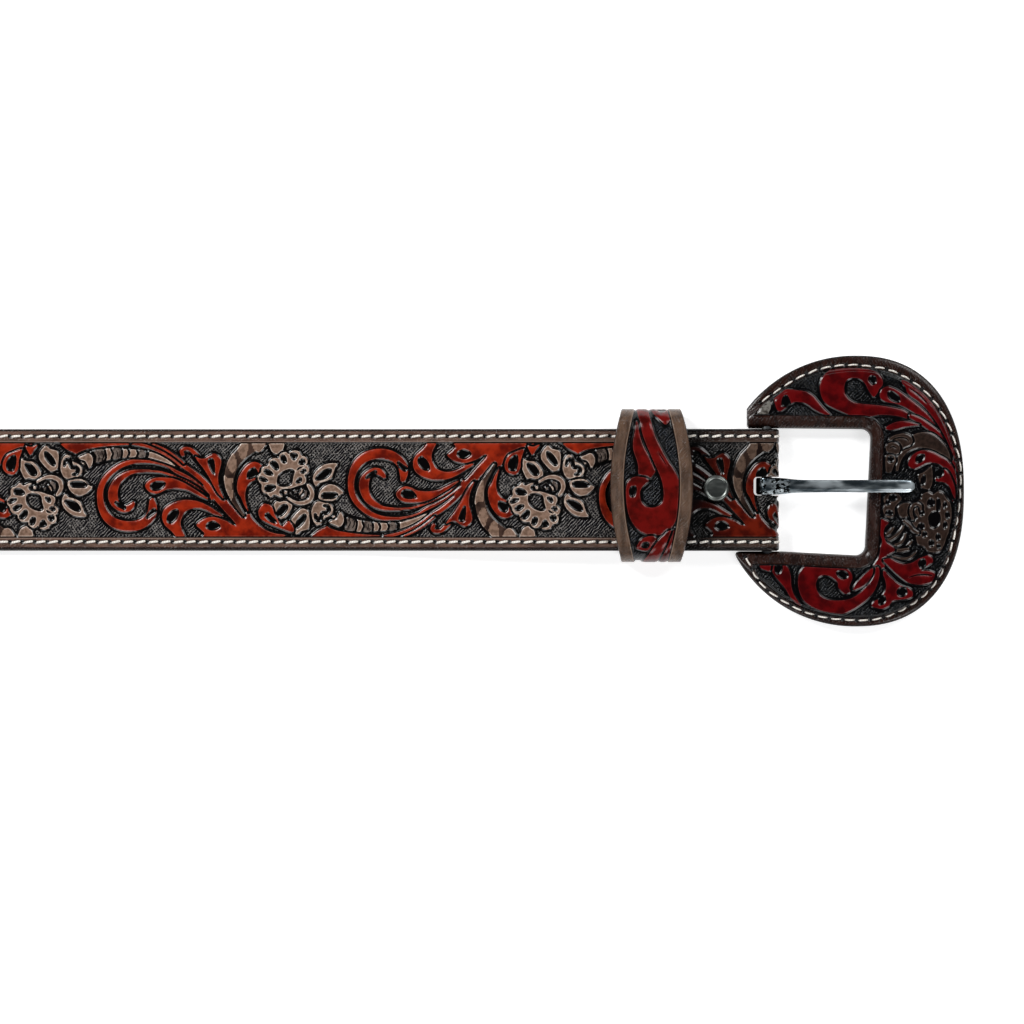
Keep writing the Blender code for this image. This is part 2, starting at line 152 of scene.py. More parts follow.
def carve(points, cuts, groove=1.15, growth=0.75, start=-6.0, reach=7.0):
    # In pixels: half a groove's width, what hollows are widened by, the open ground's value, and how far
    # from a cut its effect is worked out. raised: how far inside a raised shape, below zero outside.
    raised = np.full(len(points), start)
    tone = np.zeros(len(points))
    smooth = np.zeros(len(points))  # 1 in a hollow that is cut smooth, 0 on the stamped ground
    for cut in cuts:
        rows = np.array(cut["rows"], dtype=float)
        margin = reach + (rows[:, 2].max() if cut["form"] == "band" else 0.0)
        low, high = rows[:, :2].min(0) - margin, rows[:, :2].max(0) + margin
        near = np.where(((points > low) & (points < high)).all(1))[0]
        if not len(near):
            continue
        distance = cutDistance(points[near], cut)
        old = raised[near]
        if cut["tone"] in ("hollow", "line", "ground"):
            distance = distance - (growth if cut["tone"] == "hollow" else 0.0)
            raised[near] = np.minimum(old, distance)
            if cut["tone"] == "hollow":
                isHollow = smoothStep(-distance / tooling["hollowBlend"] + 0.5)
                smooth[near] = np.maximum(smooth[near], isHollow)
            continue
        outside = old if cut["merged"] else np.minimum(old, distance - 2 * groove)
        raised[near] = np.maximum(-distance, outside)
        owns = (-distance >= outside) | (cut["merged"] & (distance < 0))
        tone[near] = np.where(owns, toneValue[cut["tone"]], tone[near])
        smooth[near] = np.where(owns, 0.0, smooth[near])
    return raised, tone, smooth


def patch(tone, *rows, merged=False):  # merged: no groove between it and what it lies over
    return {"form": "patch", "tone": tone, "rows": rows, "merged": merged}


def band(tone, *rows, merged=False):
    return {"form": "band", "tone": tone, "rows": rows, "merged": merged}


# Depths and widths of the tooling in mm, under the leather's face
tooling = {
    "ground": 0.62, "wall": 0.34, "dome": 0.16, "domeWidth": 0.9,
    "hole": 0.42, "holeRadius": 0.5, "holeReach": 1.8,  # needle holes
    "crease": 0.12, "creaseWidth": 0.2, "blend": 0.1,  # knife line round the field, half the step beside it
    "hollowBlend": 0.8,  # in pixels
}


def reliefHeight(raised):
    wall = smoothStep((raised + tooling["wall"]) / tooling["wall"])
    dome = smoothStep(raised / tooling["domeWidth"])
    return -tooling["ground"] + (tooling["ground"] - tooling["dome"]) * wall + tooling["dome"] * dome


def holeDepth(distance):  # needle holes between the stitches
    return -tooling["hole"] * np.exp(-(distance / tooling["holeRadius"]) ** 2)


def creaseHeight(field, depth):  # knife line that frames the tooled field
    return -depth * np.exp(-((field + tooling["crease"]) / tooling["creaseWidth"]) ** 2)


def withBorder(border, height, field):
    return mix(border, height, smoothStep((field + tooling["blend"]) / (2 * tooling["blend"])))


def edgeDrop(edge, radius):  # how far a rounded edge falls away from the face
    turned = np.clip(1 - edge / radius, 0, 1)
    return radius * (1 - np.sqrt(np.maximum(0, 1 - turned ** 2)))


# Meshes

def addObject(name, mesh):
    obj = bpy.data.objects.new(name, mesh)
    bpy.context.scene.collection.objects.link(obj)
    return obj


def meshFromRings(name, rings, attributes, closedPath=False):
    # rings: stations x points x 3, in mm. Faces join each ring to the next, and caps close an open path.
    count, size, _ = rings.shape
    i = np.arange(count if closedPath else count - 1)[:, None]
    j = np.arange(size)[None]
    nextI, nextJ = (i + 1) % count, (j + 1) % size
    corners = (i * size + j, nextI * size + j, nextI * size + nextJ, i * size + nextJ)
    quads = np.stack(corners, -1).reshape(-1, 4)
    mesh = bpy.data.meshes.new(name)
    mesh.from_pydata((rings.reshape(-1, 3) * mm).tolist(), [], quads.tolist())
    for key, values in attributes.items():
        layer = mesh.attributes.new(key, "FLOAT", "POINT")
        layer.data.foreach_set("value", np.asarray(values, dtype=np.float32).reshape(-1))
    build = bmesh.new()
    build.from_mesh(mesh)
    if not closedPath:
        build.verts.ensure_lookup_table()
        for first in (0, (count - 1) * size):
            cap = build.faces.new([build.verts[first + k] for k in range(size)])
            for edge in cap.edges:
                edge.smooth = False
    bmesh.ops.remove_doubles(build, verts=build.verts, dist=1e-6)
    bmesh.ops.recalc_face_normals(build, faces=build.faces)
    build.to_mesh(mesh)
    build.free()
    for polygon in mesh.polygons:
        polygon.use_smooth = True
    return addObject(name, mesh)


def toPlainMesh(obj):  # modifiers become plain geometry
    graph = bpy.context.evaluated_depsgraph_get()
    mesh = bpy.data.meshes.new_from_object(obj.evaluated_get(graph), depsgraph=graph)
    obj.modifiers.clear()
    obj.data = mesh
    mesh.name = obj.name


def finishPiece(obj, material, body, node):
    obj.data.materials.clear()
    obj.data.materials.append(material)
    if node:
        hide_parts(node)
    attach(obj, body)
    print(obj.name, "done:", sum(len(p.vertices) - 2 for p in obj.data.polygons), "triangles")


# Nodes

def addNode(tree, kind, inputs=None, output=None, **settings):  # gives one of the new node's outputs
    node = tree.nodes.new(kind)
    for key, value in settings.items():
        setattr(node, key, value)
    sockets = [socket for socket in node.inputs if socket.enabled]
    for key, value in (inputs or {}).items():
        socket = sockets[key] if isinstance(key, int) else next(s for s in sockets if s.name == key)
        if isinstance(value, bpy.types.NodeSocket):
            tree.links.new(value, socket)
        else:
            socket.default_value = value
    if output is not None:
        return node.outputs[output]
    return next((socket for socket in node.outputs if socket.enabled), node)


def newMaterial(name):
    material = bpy.data.materials.new(name)
    material.use_nodes = True
    material.node_tree.nodes.clear()
    return material, material.node_tree


# Vegetable-tanned leather, cut with a swivel knife and stamped, painted by hand, rubbed with black antique
# paste and lacquered. The eye sees deep flat paint on the raised work, black in every groove, a ground of
# fine stamped lines with painted glints, pale rubbed rims, and crisp wet highlights over all.
leather = {
    "noises": [  # name, mm across a spot, detail, stretch along x and y
        ("blotch", 4.0, 4.0, 1.0, 1.0), ("fine", 1.1, 3.0, 1.0, 1.0),
        ("grain", 0.4, 3.0, 1.0, 1.0),  # pores, drawn about twice as coarse as real ones so that they show
        ("streakAlong", 1.6, 4.0, 0.22, 1.0), ("streakAcross", 1.6, 4.0, 1.0, 0.22),
        ("turn", 4.6, 1.0, 1.0, 1.0),
    ],
    "hatchPitch": 0.8,  # mm between the stamp's lines
    "hatchTurns": (0.78, -0.62),
    "hatchBend": 5.0,
    "hatchDetail": (2.0, 1.1),  # detail and its scale
    "hatchDepth": 0.05,
    "grainDepth": 0.007,
    "pasteRoughness": 0.2,
    "fleshRoughness": 0.75,
    "lacquer": 0.28,
    "shadeFrom": 66.0,  # mm along the strap: painted shade darkens the paint from here, under the keeper,
    "shadeTo": 75.0,
    "shadowFadeFrom": 79.0,  # and a painted shadow of the keeper lies darkest just beyond it
    "shadowFadeTo": 93.0,
}

wavePeriod = 0.31416  # m between the lines of a wave texture whose scale is 1

# Name, source, from low to high, and the values at both, with a smooth step between
leatherSteps = [
    ("lineA", "waveA", 0.66, 0.97, 0.0, 1.0), ("lineB", "waveB", 0.6, 0.97, 0.0, 1.0),
    ("isOneWay", "turn", 0.44, 0.56, 0.0, 1.0), ("isDeep", "raised", -0.72, -1.2, 0.0, 1.0),
    ("isStamped", "smooth", 0.6, 0.2, 0.0, 1.0), ("isBright", "fine", 0.38, 0.58, 0.1, 1.0),
    ("isRimIn", "raised", 0.0, 0.05, 0.0, 1.0), ("isRimOut", "raised", 0.27, 0.12, 0.0, 1.0),
    ("isRubbed", "fine", 0.38, 0.6, 0.2, 1.0), ("blotches", "blotch", 0.34, 0.64, 0.0, 1.0),
    ("mottle", "fine", 0.34, 0.6, 0.0, 1.0), ("rimSide", "raised", 0.55, 0.16, 0.0, 1.0),
    ("isTan", "tone", 0.3, 0.7, 0.0, 1.0), ("isBrown", "tone", 1.3, 1.7, 0.0, 1.0),
    ("isWorn", "tone", 2.3, 2.7, 0.0, 1.0), ("isRaised", "raised", -0.05, 0.04, 0.0, 1.0),
    ("streaks", "streak", 0.32, 0.66, 0.0, 1.0), ("lineFrom", "field", -0.75, -0.5, 0.0, 1.0),
    ("lineTo", "field", -0.3, -0.45, 0.0, 1.0), ("isInner", "inner", 0.4, 0.6, 0.0, 1.0),
    ("isCreased", "field", -0.42, -0.2, 0.0, 1.0), ("isBorder", "field", 0.04, -0.04, 0.0, 1.0),
    ("isHole", "hole", 0.85, 0.55, 0.0, 1.0), ("isFlesh", "edge", -0.2, -0.5, 0.0, 1.0),
    ("isPaste", "raised", 0.02, -0.1, 0.0, 1.0),
]
leatherProducts = [  # name and its two factors
    ("crossed", "lineB", "isOneWay"), ("isGround", "isDeep", "isStamped"),
    ("isWornRim", "isRimIn", "isRimOut"), ("rubbed", "isWornRim", "isRubbed"),
    ("redWorn", "rubbed", "redWear"), ("tanWorn", "rubbed", "tanWear"), ("isLine", "lineFrom", "lineTo"),
]
leatherLayers = [  # name, what it starts from, then factors with what each lays over it
    # painted glints over the stamped ground's lines
    ("paste", "groove", ("isGround", "ground"), ("lit", "hatchAndGlint")),
    ("redPaint", "redDark", ("blotches", "red"), ("redWorn", "redRim")),
    ("tanPaint", "tanDark", ("mottle", "tan"), ("rimSide", "tanEdge"), ("tanWorn", "tanRim")),
    ("brownPaint", "brownDark", ("blotches", "brown"), ("redWorn", "tanDark")),
    ("wornPaint", "wornDark", ("mottle", "worn")),
    ("paint", "redPaint", ("isTan", "tanPaint"), ("isBrown", "brownPaint"), ("isWorn", "wornPaint")),
    ("tooled", "paste", ("isRaised", "paint")),
    ("bandPaint", "bandDark", ("streaks", "band")),
    ("plain", "borderDark", ("streaks", "border"), ("isLine", "borderRim"), ("isInner", "bandPaint"),
     ("isCreased", "groove"), ("isEdge", "edge"), ("isHole", "groove")),
    ("face", "tooled", ("isBorder", "plain")),
    ("flesh", "back", ("mottle", "backLight")),
    ("whole", "face", ("isFlesh", "flesh")),
]


def leatherMaterial(name, paint):
    material, tree = newMaterial(name)
    place = addNode(tree, "ShaderNodeTexCoord", output="Object")
    values = {"redWear": paint["redWear"], "tanWear": paint["tanWear"]}
    for key in ("raised", "tone", "smooth", "edge", "field", "inner", "hole"):
        values[key] = addNode(tree, "ShaderNodeAttribute", output="Fac", attribute_name=key)
    for key, size, detail, alongX, alongY in leather["noises"]:
        at = addNode(tree, "ShaderNodeMapping", {"Vector": place, "Scale": (alongX, alongY, 1)})
        values[key] = addNode(tree, "ShaderNodeTexNoise", {
            "Vector": at, "Scale": 1 / (size * mm), "Detail": detail,
        })
    values["streak"] = values[paint["streaks"]]
    for key, angle in zip(("waveA", "waveB"), leather["hatchTurns"]):
        turned = addNode(tree, "ShaderNodeMapping", {"Vector": place, "Rotation": (0, 0, angle)})
        values[key] = addNode(tree, "ShaderNodeTexWave", {
            "Vector": turned, "Scale": wavePeriod / (leather["hatchPitch"] * mm),
            "Distortion": leather["hatchBend"], "Detail": leather["hatchDetail"][0],
            "Detail Scale": leather["hatchDetail"][1],
        }, "Fac", wave_type="BANDS")
    edgeStep = ("isEdge", "edge", paint["edgeWidth"], paint["edgeWidth"] * 0.55, 0.0, 1.0)
    for key, source, low, high, toLow, toHigh in leatherSteps + [edgeStep]:
        values[key] = addNode(tree, "ShaderNodeMapRange", {
            "Value": values[source], "From Min": low, "From Max": high, "To Min": toLow, "To Max": toHigh,
        }, interpolation_type="SMOOTHSTEP")
    for key, first, second in leatherProducts:
        factors = {0: values[first], 1: values[second]}
        values[key] = addNode(tree, "ShaderNodeMath", factors, operation="MULTIPLY")
    # The stamp's lines on the open ground: they give the bump, and carry painted glints in scattered spots
    hatchAndGlint = addNode(tree, "ShaderNodeMath", {0: values["lineA"], 1: values["crossed"]}, operation="MAXIMUM")
    hatchAndGlint = addNode(tree, "ShaderNodeMath", {0: hatchAndGlint, 1: values["isGround"]}, operation="MULTIPLY")
    values["lit"] = addNode(tree, "ShaderNodeMath", {0: hatchAndGlint, 1: values["isBright"]}, operation="MULTIPLY")
    colours = {}
    for key, first, *over in leatherLayers:
        colour = colours[first] if first in colours else toLinear(paint[first])
        for factor, second in over:
            colour = addNode(tree, "ShaderNodeMix", {
                0: values[factor], 1: colour,
                2: colours[second] if second in colours else toLinear(paint[second]),
            }, data_type="RGBA")
        colours[key] = colour
    # Painted shade: past the keeper the strap's paint is mixed towards black, most in a painted shadow just
    # beyond the keeper
    x = addNode(tree, "ShaderNodeSeparateXYZ", {"Vector": place})
    isBeyond = addNode(tree, "ShaderNodeMapRange", {
        "Value": x, "From Min": leather["shadeFrom"] * mm, "From Max": leather["shadeTo"] * mm,
    })
    # painted shadow of the keeper, easing to the lighter painted shade further along
    thick = addNode(tree, "ShaderNodeMapRange", {
        "Value": x, "From Min": leather["shadowFadeFrom"] * mm, "From Max": leather["shadowFadeTo"] * mm,
        "To Min": paint["keeperShadow"], "To Max": paint["farShade"],
    }, interpolation_type="SMOOTHSTEP")
    paintedShade = addNode(tree, "ShaderNodeMath", {0: isBeyond, 1: thick}, operation="MULTIPLY")
    colour = addNode(tree, "ShaderNodeMix", {
        0: paintedShade, 1: colours["whole"], 2: (0, 0, 0, 1),
    }, data_type="RGBA")
    lines = addNode(tree, "ShaderNodeMath", {0: hatchAndGlint, 1: leather["hatchDepth"]}, operation="MULTIPLY")
    height = addNode(tree, "ShaderNodeMath", {
        0: values["grain"], 1: leather["grainDepth"], 2: lines,
    }, operation="MULTIPLY_ADD")
    bump = addNode(tree, "ShaderNodeBump", {"Height": height, "Strength": 1.0, "Distance": mm})
    gloss = addNode(tree, "ShaderNodeMapRange", {
        "Value": values["blotch"], "From Min": 0.3, "From Max": 0.7, "To Min": paint["gloss"][0],
        "To Max": paint["gloss"][1],
    })
    rough = gloss
    for key, matte in (("isPaste", leather["pasteRoughness"]), ("isFlesh", leather["fleshRoughness"])):
        rough = addNode(tree, "ShaderNodeMix", {0: values[key], 1: rough, 2: matte}, data_type="FLOAT")
    shader = addNode(tree, "ShaderNodeBsdfPrincipled", {
        "Base Color": colour, "Roughness": rough, "Normal": bump, "Specular IOR Level": leather["lacquer"],
    })
    addNode(tree, "ShaderNodeOutputMaterial", {"Surface": shader})
    return material



# Strap: lengths in mm
strapShape = {
    "thickness": 3.0, "foldThickness": 2.0, "tailEndThickness": 1.0, "tailTaper": 12.0, "foldInside": 1.9,
    "tipLength": 26.0, "tipRoundness": 1.75, "tipTurn": (0.05, 0.5, 16), "tipPast": 8.0,
    "keeperTop": 7.6, "tailBottom": 2.3,  # heights
    # how far from the bar
    "liftStart": 140.0, "thinningStart": 22.0, "thinningEnd": 5.0, "foldRise": 11.0,
    "tailLength": 60.0, "tailDip": 11.0, "underStitches": 9.0,
    # how far in from the edge, then the seam's own measures and the roundings
    "border": 4.4, "stitchFar": 2.25, "stitchNear": 2.8,
    "borderLine": 0.3, "stitchPitch": 3.92, "stitchChannel": 0.14, "channelHalf": 0.55,
    "edgeRound": 0.7, "backRound": 0.65, "nearEdge": 0.42,
    "deepest": 0.42,  # share of the thickness that a cut may take
    "step": 0.37, "tailStep": 0.5, "foldSteps": 34, "columns": 104, "backColumns": 7,
}
strapPaint = {
    # the second colour is a painted glint on the stamped ground's lines
    "ground": "#060609", "hatchAndGlint": "#6e6965", "groove": "#020101",
    "red": "#8c240c", "redDark": "#520e05", "redRim": "#a35c4a", "redWear": 0.5,
    "tan": "#806758", "tanDark": "#624d40", "tanEdge": "#83695b", "tanRim": "#cdbfb2", "tanWear": 0.75,
    "brown": "#44322a", "brownDark": "#241814", "worn": "#665a53", "wornDark": "#362d29",
    "border": "#654d42", "borderDark": "#44322a", "borderRim": "#7a655a",
    "band": "#5a463e", "bandDark": "#3b2b26",
    "edge": "#140a08", "edgeWidth": 0.95, "back": "#5a4333", "backLight": "#765b46",
    # the last two: strength of the painted shade far along the strap, and of the painted shadow beside the
    # keeper
    "gloss": (0.15, 0.24), "streaks": "streakAlong", "farShade": 0.6, "keeperShadow": 0.96,
}
farAway = 9.0  # mm to a needle hole, where none is near
strapLow, strapHigh = [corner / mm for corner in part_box("strap")]
strapY, strapHalf, tipX = (strapLow.y + strapHigh.y) / 2, (strapHigh.y - strapLow.y) / 2, strapLow.x


def strapTop(back):  # height of the face at a distance back from the bar
    s = strapShape
    lift = smoothStep((s["liftStart"] - back) / (s["liftStart"] - s["tailLength"]))
    rise = smoothStep((s["foldRise"] - back) / s["foldRise"])
    level = mix(s["thickness"], s["keeperTop"], lift)
    return mix(level, barZ + s["foldInside"] + s["foldThickness"], rise)


def tipHalf(fromTip):  # half width at a distance from the tip
    s = strapShape
    t = np.clip(fromTip / s["tipLength"], 0, 1)
    return strapHalf * (1 - (1 - t) ** s["tipRoundness"]) ** (1 / s["tipRoundness"])


def strapPath():  # rows of x, z, normal x, normal z, thickness, x in the pattern's pixels, half width
    s = strapShape
    length = barX - tipX
    tipBack = length - s["tipLength"] * (1 - np.cos(np.linspace(*s["tipTurn"])))
    back = np.concatenate([tipBack, np.arange(tipBack[-1] - s["step"], 0.0, -s["step"])])
    x, z = barX - back, strapTop(back)
    slope = np.gradient(z, x)
    size = np.hypot(1, slope)
    thinning = smoothStep((s["thinningStart"] - back) / (s["thinningStart"] - s["thinningEnd"]))
    thickness = mix(s["thickness"], s["foldThickness"], thinning)
    pattern = toPixel(x, 0)[0]
    top = np.stack([x, z, -slope / size, 1 / size, thickness, pattern, tipHalf(length - back)], 1)
    radius = s["foldInside"] + s["foldThickness"]
    count = s["foldSteps"]
    angle = np.linspace(math.pi / 2, -math.pi / 2, count)
    turned = toPixel(barX, 0)[0] + (math.pi / 2 - angle) * radius / photo["mmPerPixel"]
    fold = np.stack([
        barX + radius * np.cos(angle), barZ + radius * np.sin(angle), np.cos(angle), np.sin(angle),
        np.full(count, s["foldThickness"]), turned, np.full(count, strapHalf),
    ], 1)
    dip = np.arange(s["tailStep"], s["tailDip"], s["tailStep"])
    tailBack = np.concatenate([dip, np.linspace(s["tailDip"], s["tailLength"], 30)])
    z = mix(barZ - radius, s["tailBottom"], smoothStep(tailBack / s["tailDip"]))
    thin = smoothStep((tailBack - s["tailLength"] + s["tailTaper"]) / s["tailTaper"])
    still = np.zeros(len(tailBack))
    tail = np.stack([
        barX - tailBack, z, still, still - 1, mix(s["foldThickness"], s["tailEndThickness"], thin),
        turned[-1] + tailBack / photo["mmPerPixel"], still + strapHalf,
    ], 1)
    return np.vstack([top, fold, tail])


def tipOutline():
    t = (1 - np.cos(np.linspace(0, math.pi / 2, 80)))
    return np.stack([tipX + strapShape["tipLength"] * t, tipHalf(strapShape["tipLength"] * t)], 1)


def strapEdge(x, y, half):  # distance in from the outline, which is curved at the tip
    edge = half[:, None] - np.abs(y)
    near = x < tipX + strapShape["tipLength"] + strapShape["tipPast"]
    points = np.stack([np.repeat(x[near][:, None], y.shape[1], 1), np.abs(y[near])], -1).reshape(-1, 2)
    edge[near] = np.minimum(lineDistance(points, tipOutline()).reshape(-1, y.shape[1]), edge[near])
    return edge


def stitchInset(side):  # side runs from -1 on the near edge to 1 on the far edge
    return mix(strapShape["stitchNear"], strapShape["stitchFar"], smoothStep(side / 2 + 0.5))


def strapStitchLine():  # rows of x, y, z, normal x, normal z: one seam from fold to tip and back
    s = strapShape
    path = strapPath()
    isUnder = (path[:, 3] < -0.5) & (path[:, 0] < barX - s["underStitches"])
    rows = path[(path[:, 0] > tipX + s["tipLength"]) & ~isUnder][:, [0, 1, 2, 3]]
    sides = {}
    for sign in (1, -1):
        y = strapY + sign * (strapHalf - stitchInset(np.full(len(rows), float(sign))))
        sides[sign] = np.stack([rows[:, 0], y, rows[:, 1], rows[:, 2], rows[:, 3]], 1)
    outline = tipOutline()
    centreX = tipX + s["tipLength"]
    turn = []
    for angle in np.linspace(math.pi / 2, 3 * math.pi / 2, 60)[1:-1]:
        reach = np.linspace(2, s["tipLength"], 400)
        points = np.stack([centreX + reach * math.cos(angle), np.abs(reach * math.sin(angle))], 1)
        wanted = float(stitchInset(np.array(math.sin(angle))))
        isOut = (points[:, 1] > tipHalf(points[:, 0] - tipX)) | (points[:, 0] < tipX)
        distance = np.where(isOut, -1, lineDistance(points, outline))
        last = np.where(distance > wanted)[0][-1]
        x = points[last][0]
        turn.append((x, strapY + reach[last] * math.sin(angle), strapTop(barX - x), 0, 1))
    return np.vstack([sides[1][::-1], np.array(turn), sides[-1]])


def resample(line, pitch):  # even steps along a line of rows that start with x, y, z
    steps = np.sqrt((np.diff(line[:, :3], axis=0) ** 2).sum(1))
    along = np.concatenate([[0], np.cumsum(steps)])
    count = int(round(along[-1] / pitch))
    at = (np.arange(count * 2 + 1)) * along[-1] / (count * 2)
    even = np.stack([np.interp(at, along, column) for column in line.T], 1)
    return even[1::2], even[0::2]  # stitches, and the needle holes between them


def makeStrap(holes):
    s = strapShape
    x, z, normalX, normalZ, thickness, along, half = strapPath().T
    v = np.linspace(-1, 1, s["columns"])
    y = half[:, None] * v[None]
    edge = strapEdge(x, y, half)
    points = np.stack([
        np.repeat(along[:, None], len(v), 1), toPixel(0, strapY + y)[1]
    ], -1).reshape(-1, 2)
    raised, tone, smooth = [part.reshape(y.shape) for part in carve(points, vineCutsAlong(-2, 5))]
    raised = raised * photo["mmPerPixel"]
    field = edge - s["border"]  # above zero in the tooled field
    raised = np.minimum(raised, field - tooling["crease"])
    inset = stitchInset(v)[None]
    channel = -s["stitchChannel"] * np.exp(-((edge - inset) / s["channelHalf"]) ** 4)
    place = np.stack([np.repeat(x[:, None], len(v), 1), strapY + y, np.repeat(z[:, None], len(v), 1)], -1)
    hole = np.full(y.shape, farAway)
    near = np.abs(edge - inset) < tooling["holeReach"]
    hole[near] = pointDistance(place[near], holes[:, :3])
    border = creaseHeight(field, s["borderLine"]) + channel + holeDepth(hole)
    height = withBorder(border, reliefHeight(raised), field) - edgeDrop(edge, s["edgeRound"])
    height = np.maximum(height, -thickness[:, None] * s["deepest"])
    face = np.stack([x[:, None] + normalX[:, None] * height, y, z[:, None] + normalZ[:, None] * height], -1)
    w = np.linspace(1, -1, s["backColumns"] + 2)
    isSide = np.abs(w)[None] == 1
    rounding = s["backRound"] * np.minimum(1, thickness[:, None] / 2)
    inward = thickness[:, None] - np.where(isSide, rounding, 0.0)
    back = np.stack([
        x[:, None] - normalX[:, None] * inward, half[:, None] * w[None],
        z[:, None] - normalZ[:, None] * inward,
    ], -1)
    rings = np.concatenate([face, back], 1)
    rings[..., 1] += strapY
    flat = np.zeros((len(x), len(w)))
    sideOrBack = np.where(isSide, 0.0, -1.0) + flat
    values = {"raised": (raised, -1), "tone": (tone, 0), "smooth": (smooth, 0), "field": (field, -5),
              "inner": (tone * 0, 0), "hole": (hole, farAway)}  # values on the face, and on the rest
    attributes = {key: np.concatenate([part, flat + rest], 1) for key, (part, rest) in values.items()}
    nearSide = s["nearEdge"] * (1 - smoothStep(v / 2 + 0.5))[None]  # the dark edge reaches further in along the near side
    attributes["edge"] = np.concatenate([np.maximum(edge - nearSide, 0), sideOrBack], 1)
    strap = meshFromRings("tooledStrap", rings, attributes)
    cutSlot(strap)
    return strap


# Half a repeat of the strap's vine, in pixels of the photograph. The next half is the same, upside down.
# What lies beyond stretchTo is moved on by stretch, which the keeper hides.
vine = {"repeat": 251.5, "middle": 490.0, "stretch": 6.3, "stretchFrom": 615.0, "stretchTo": 690.0}

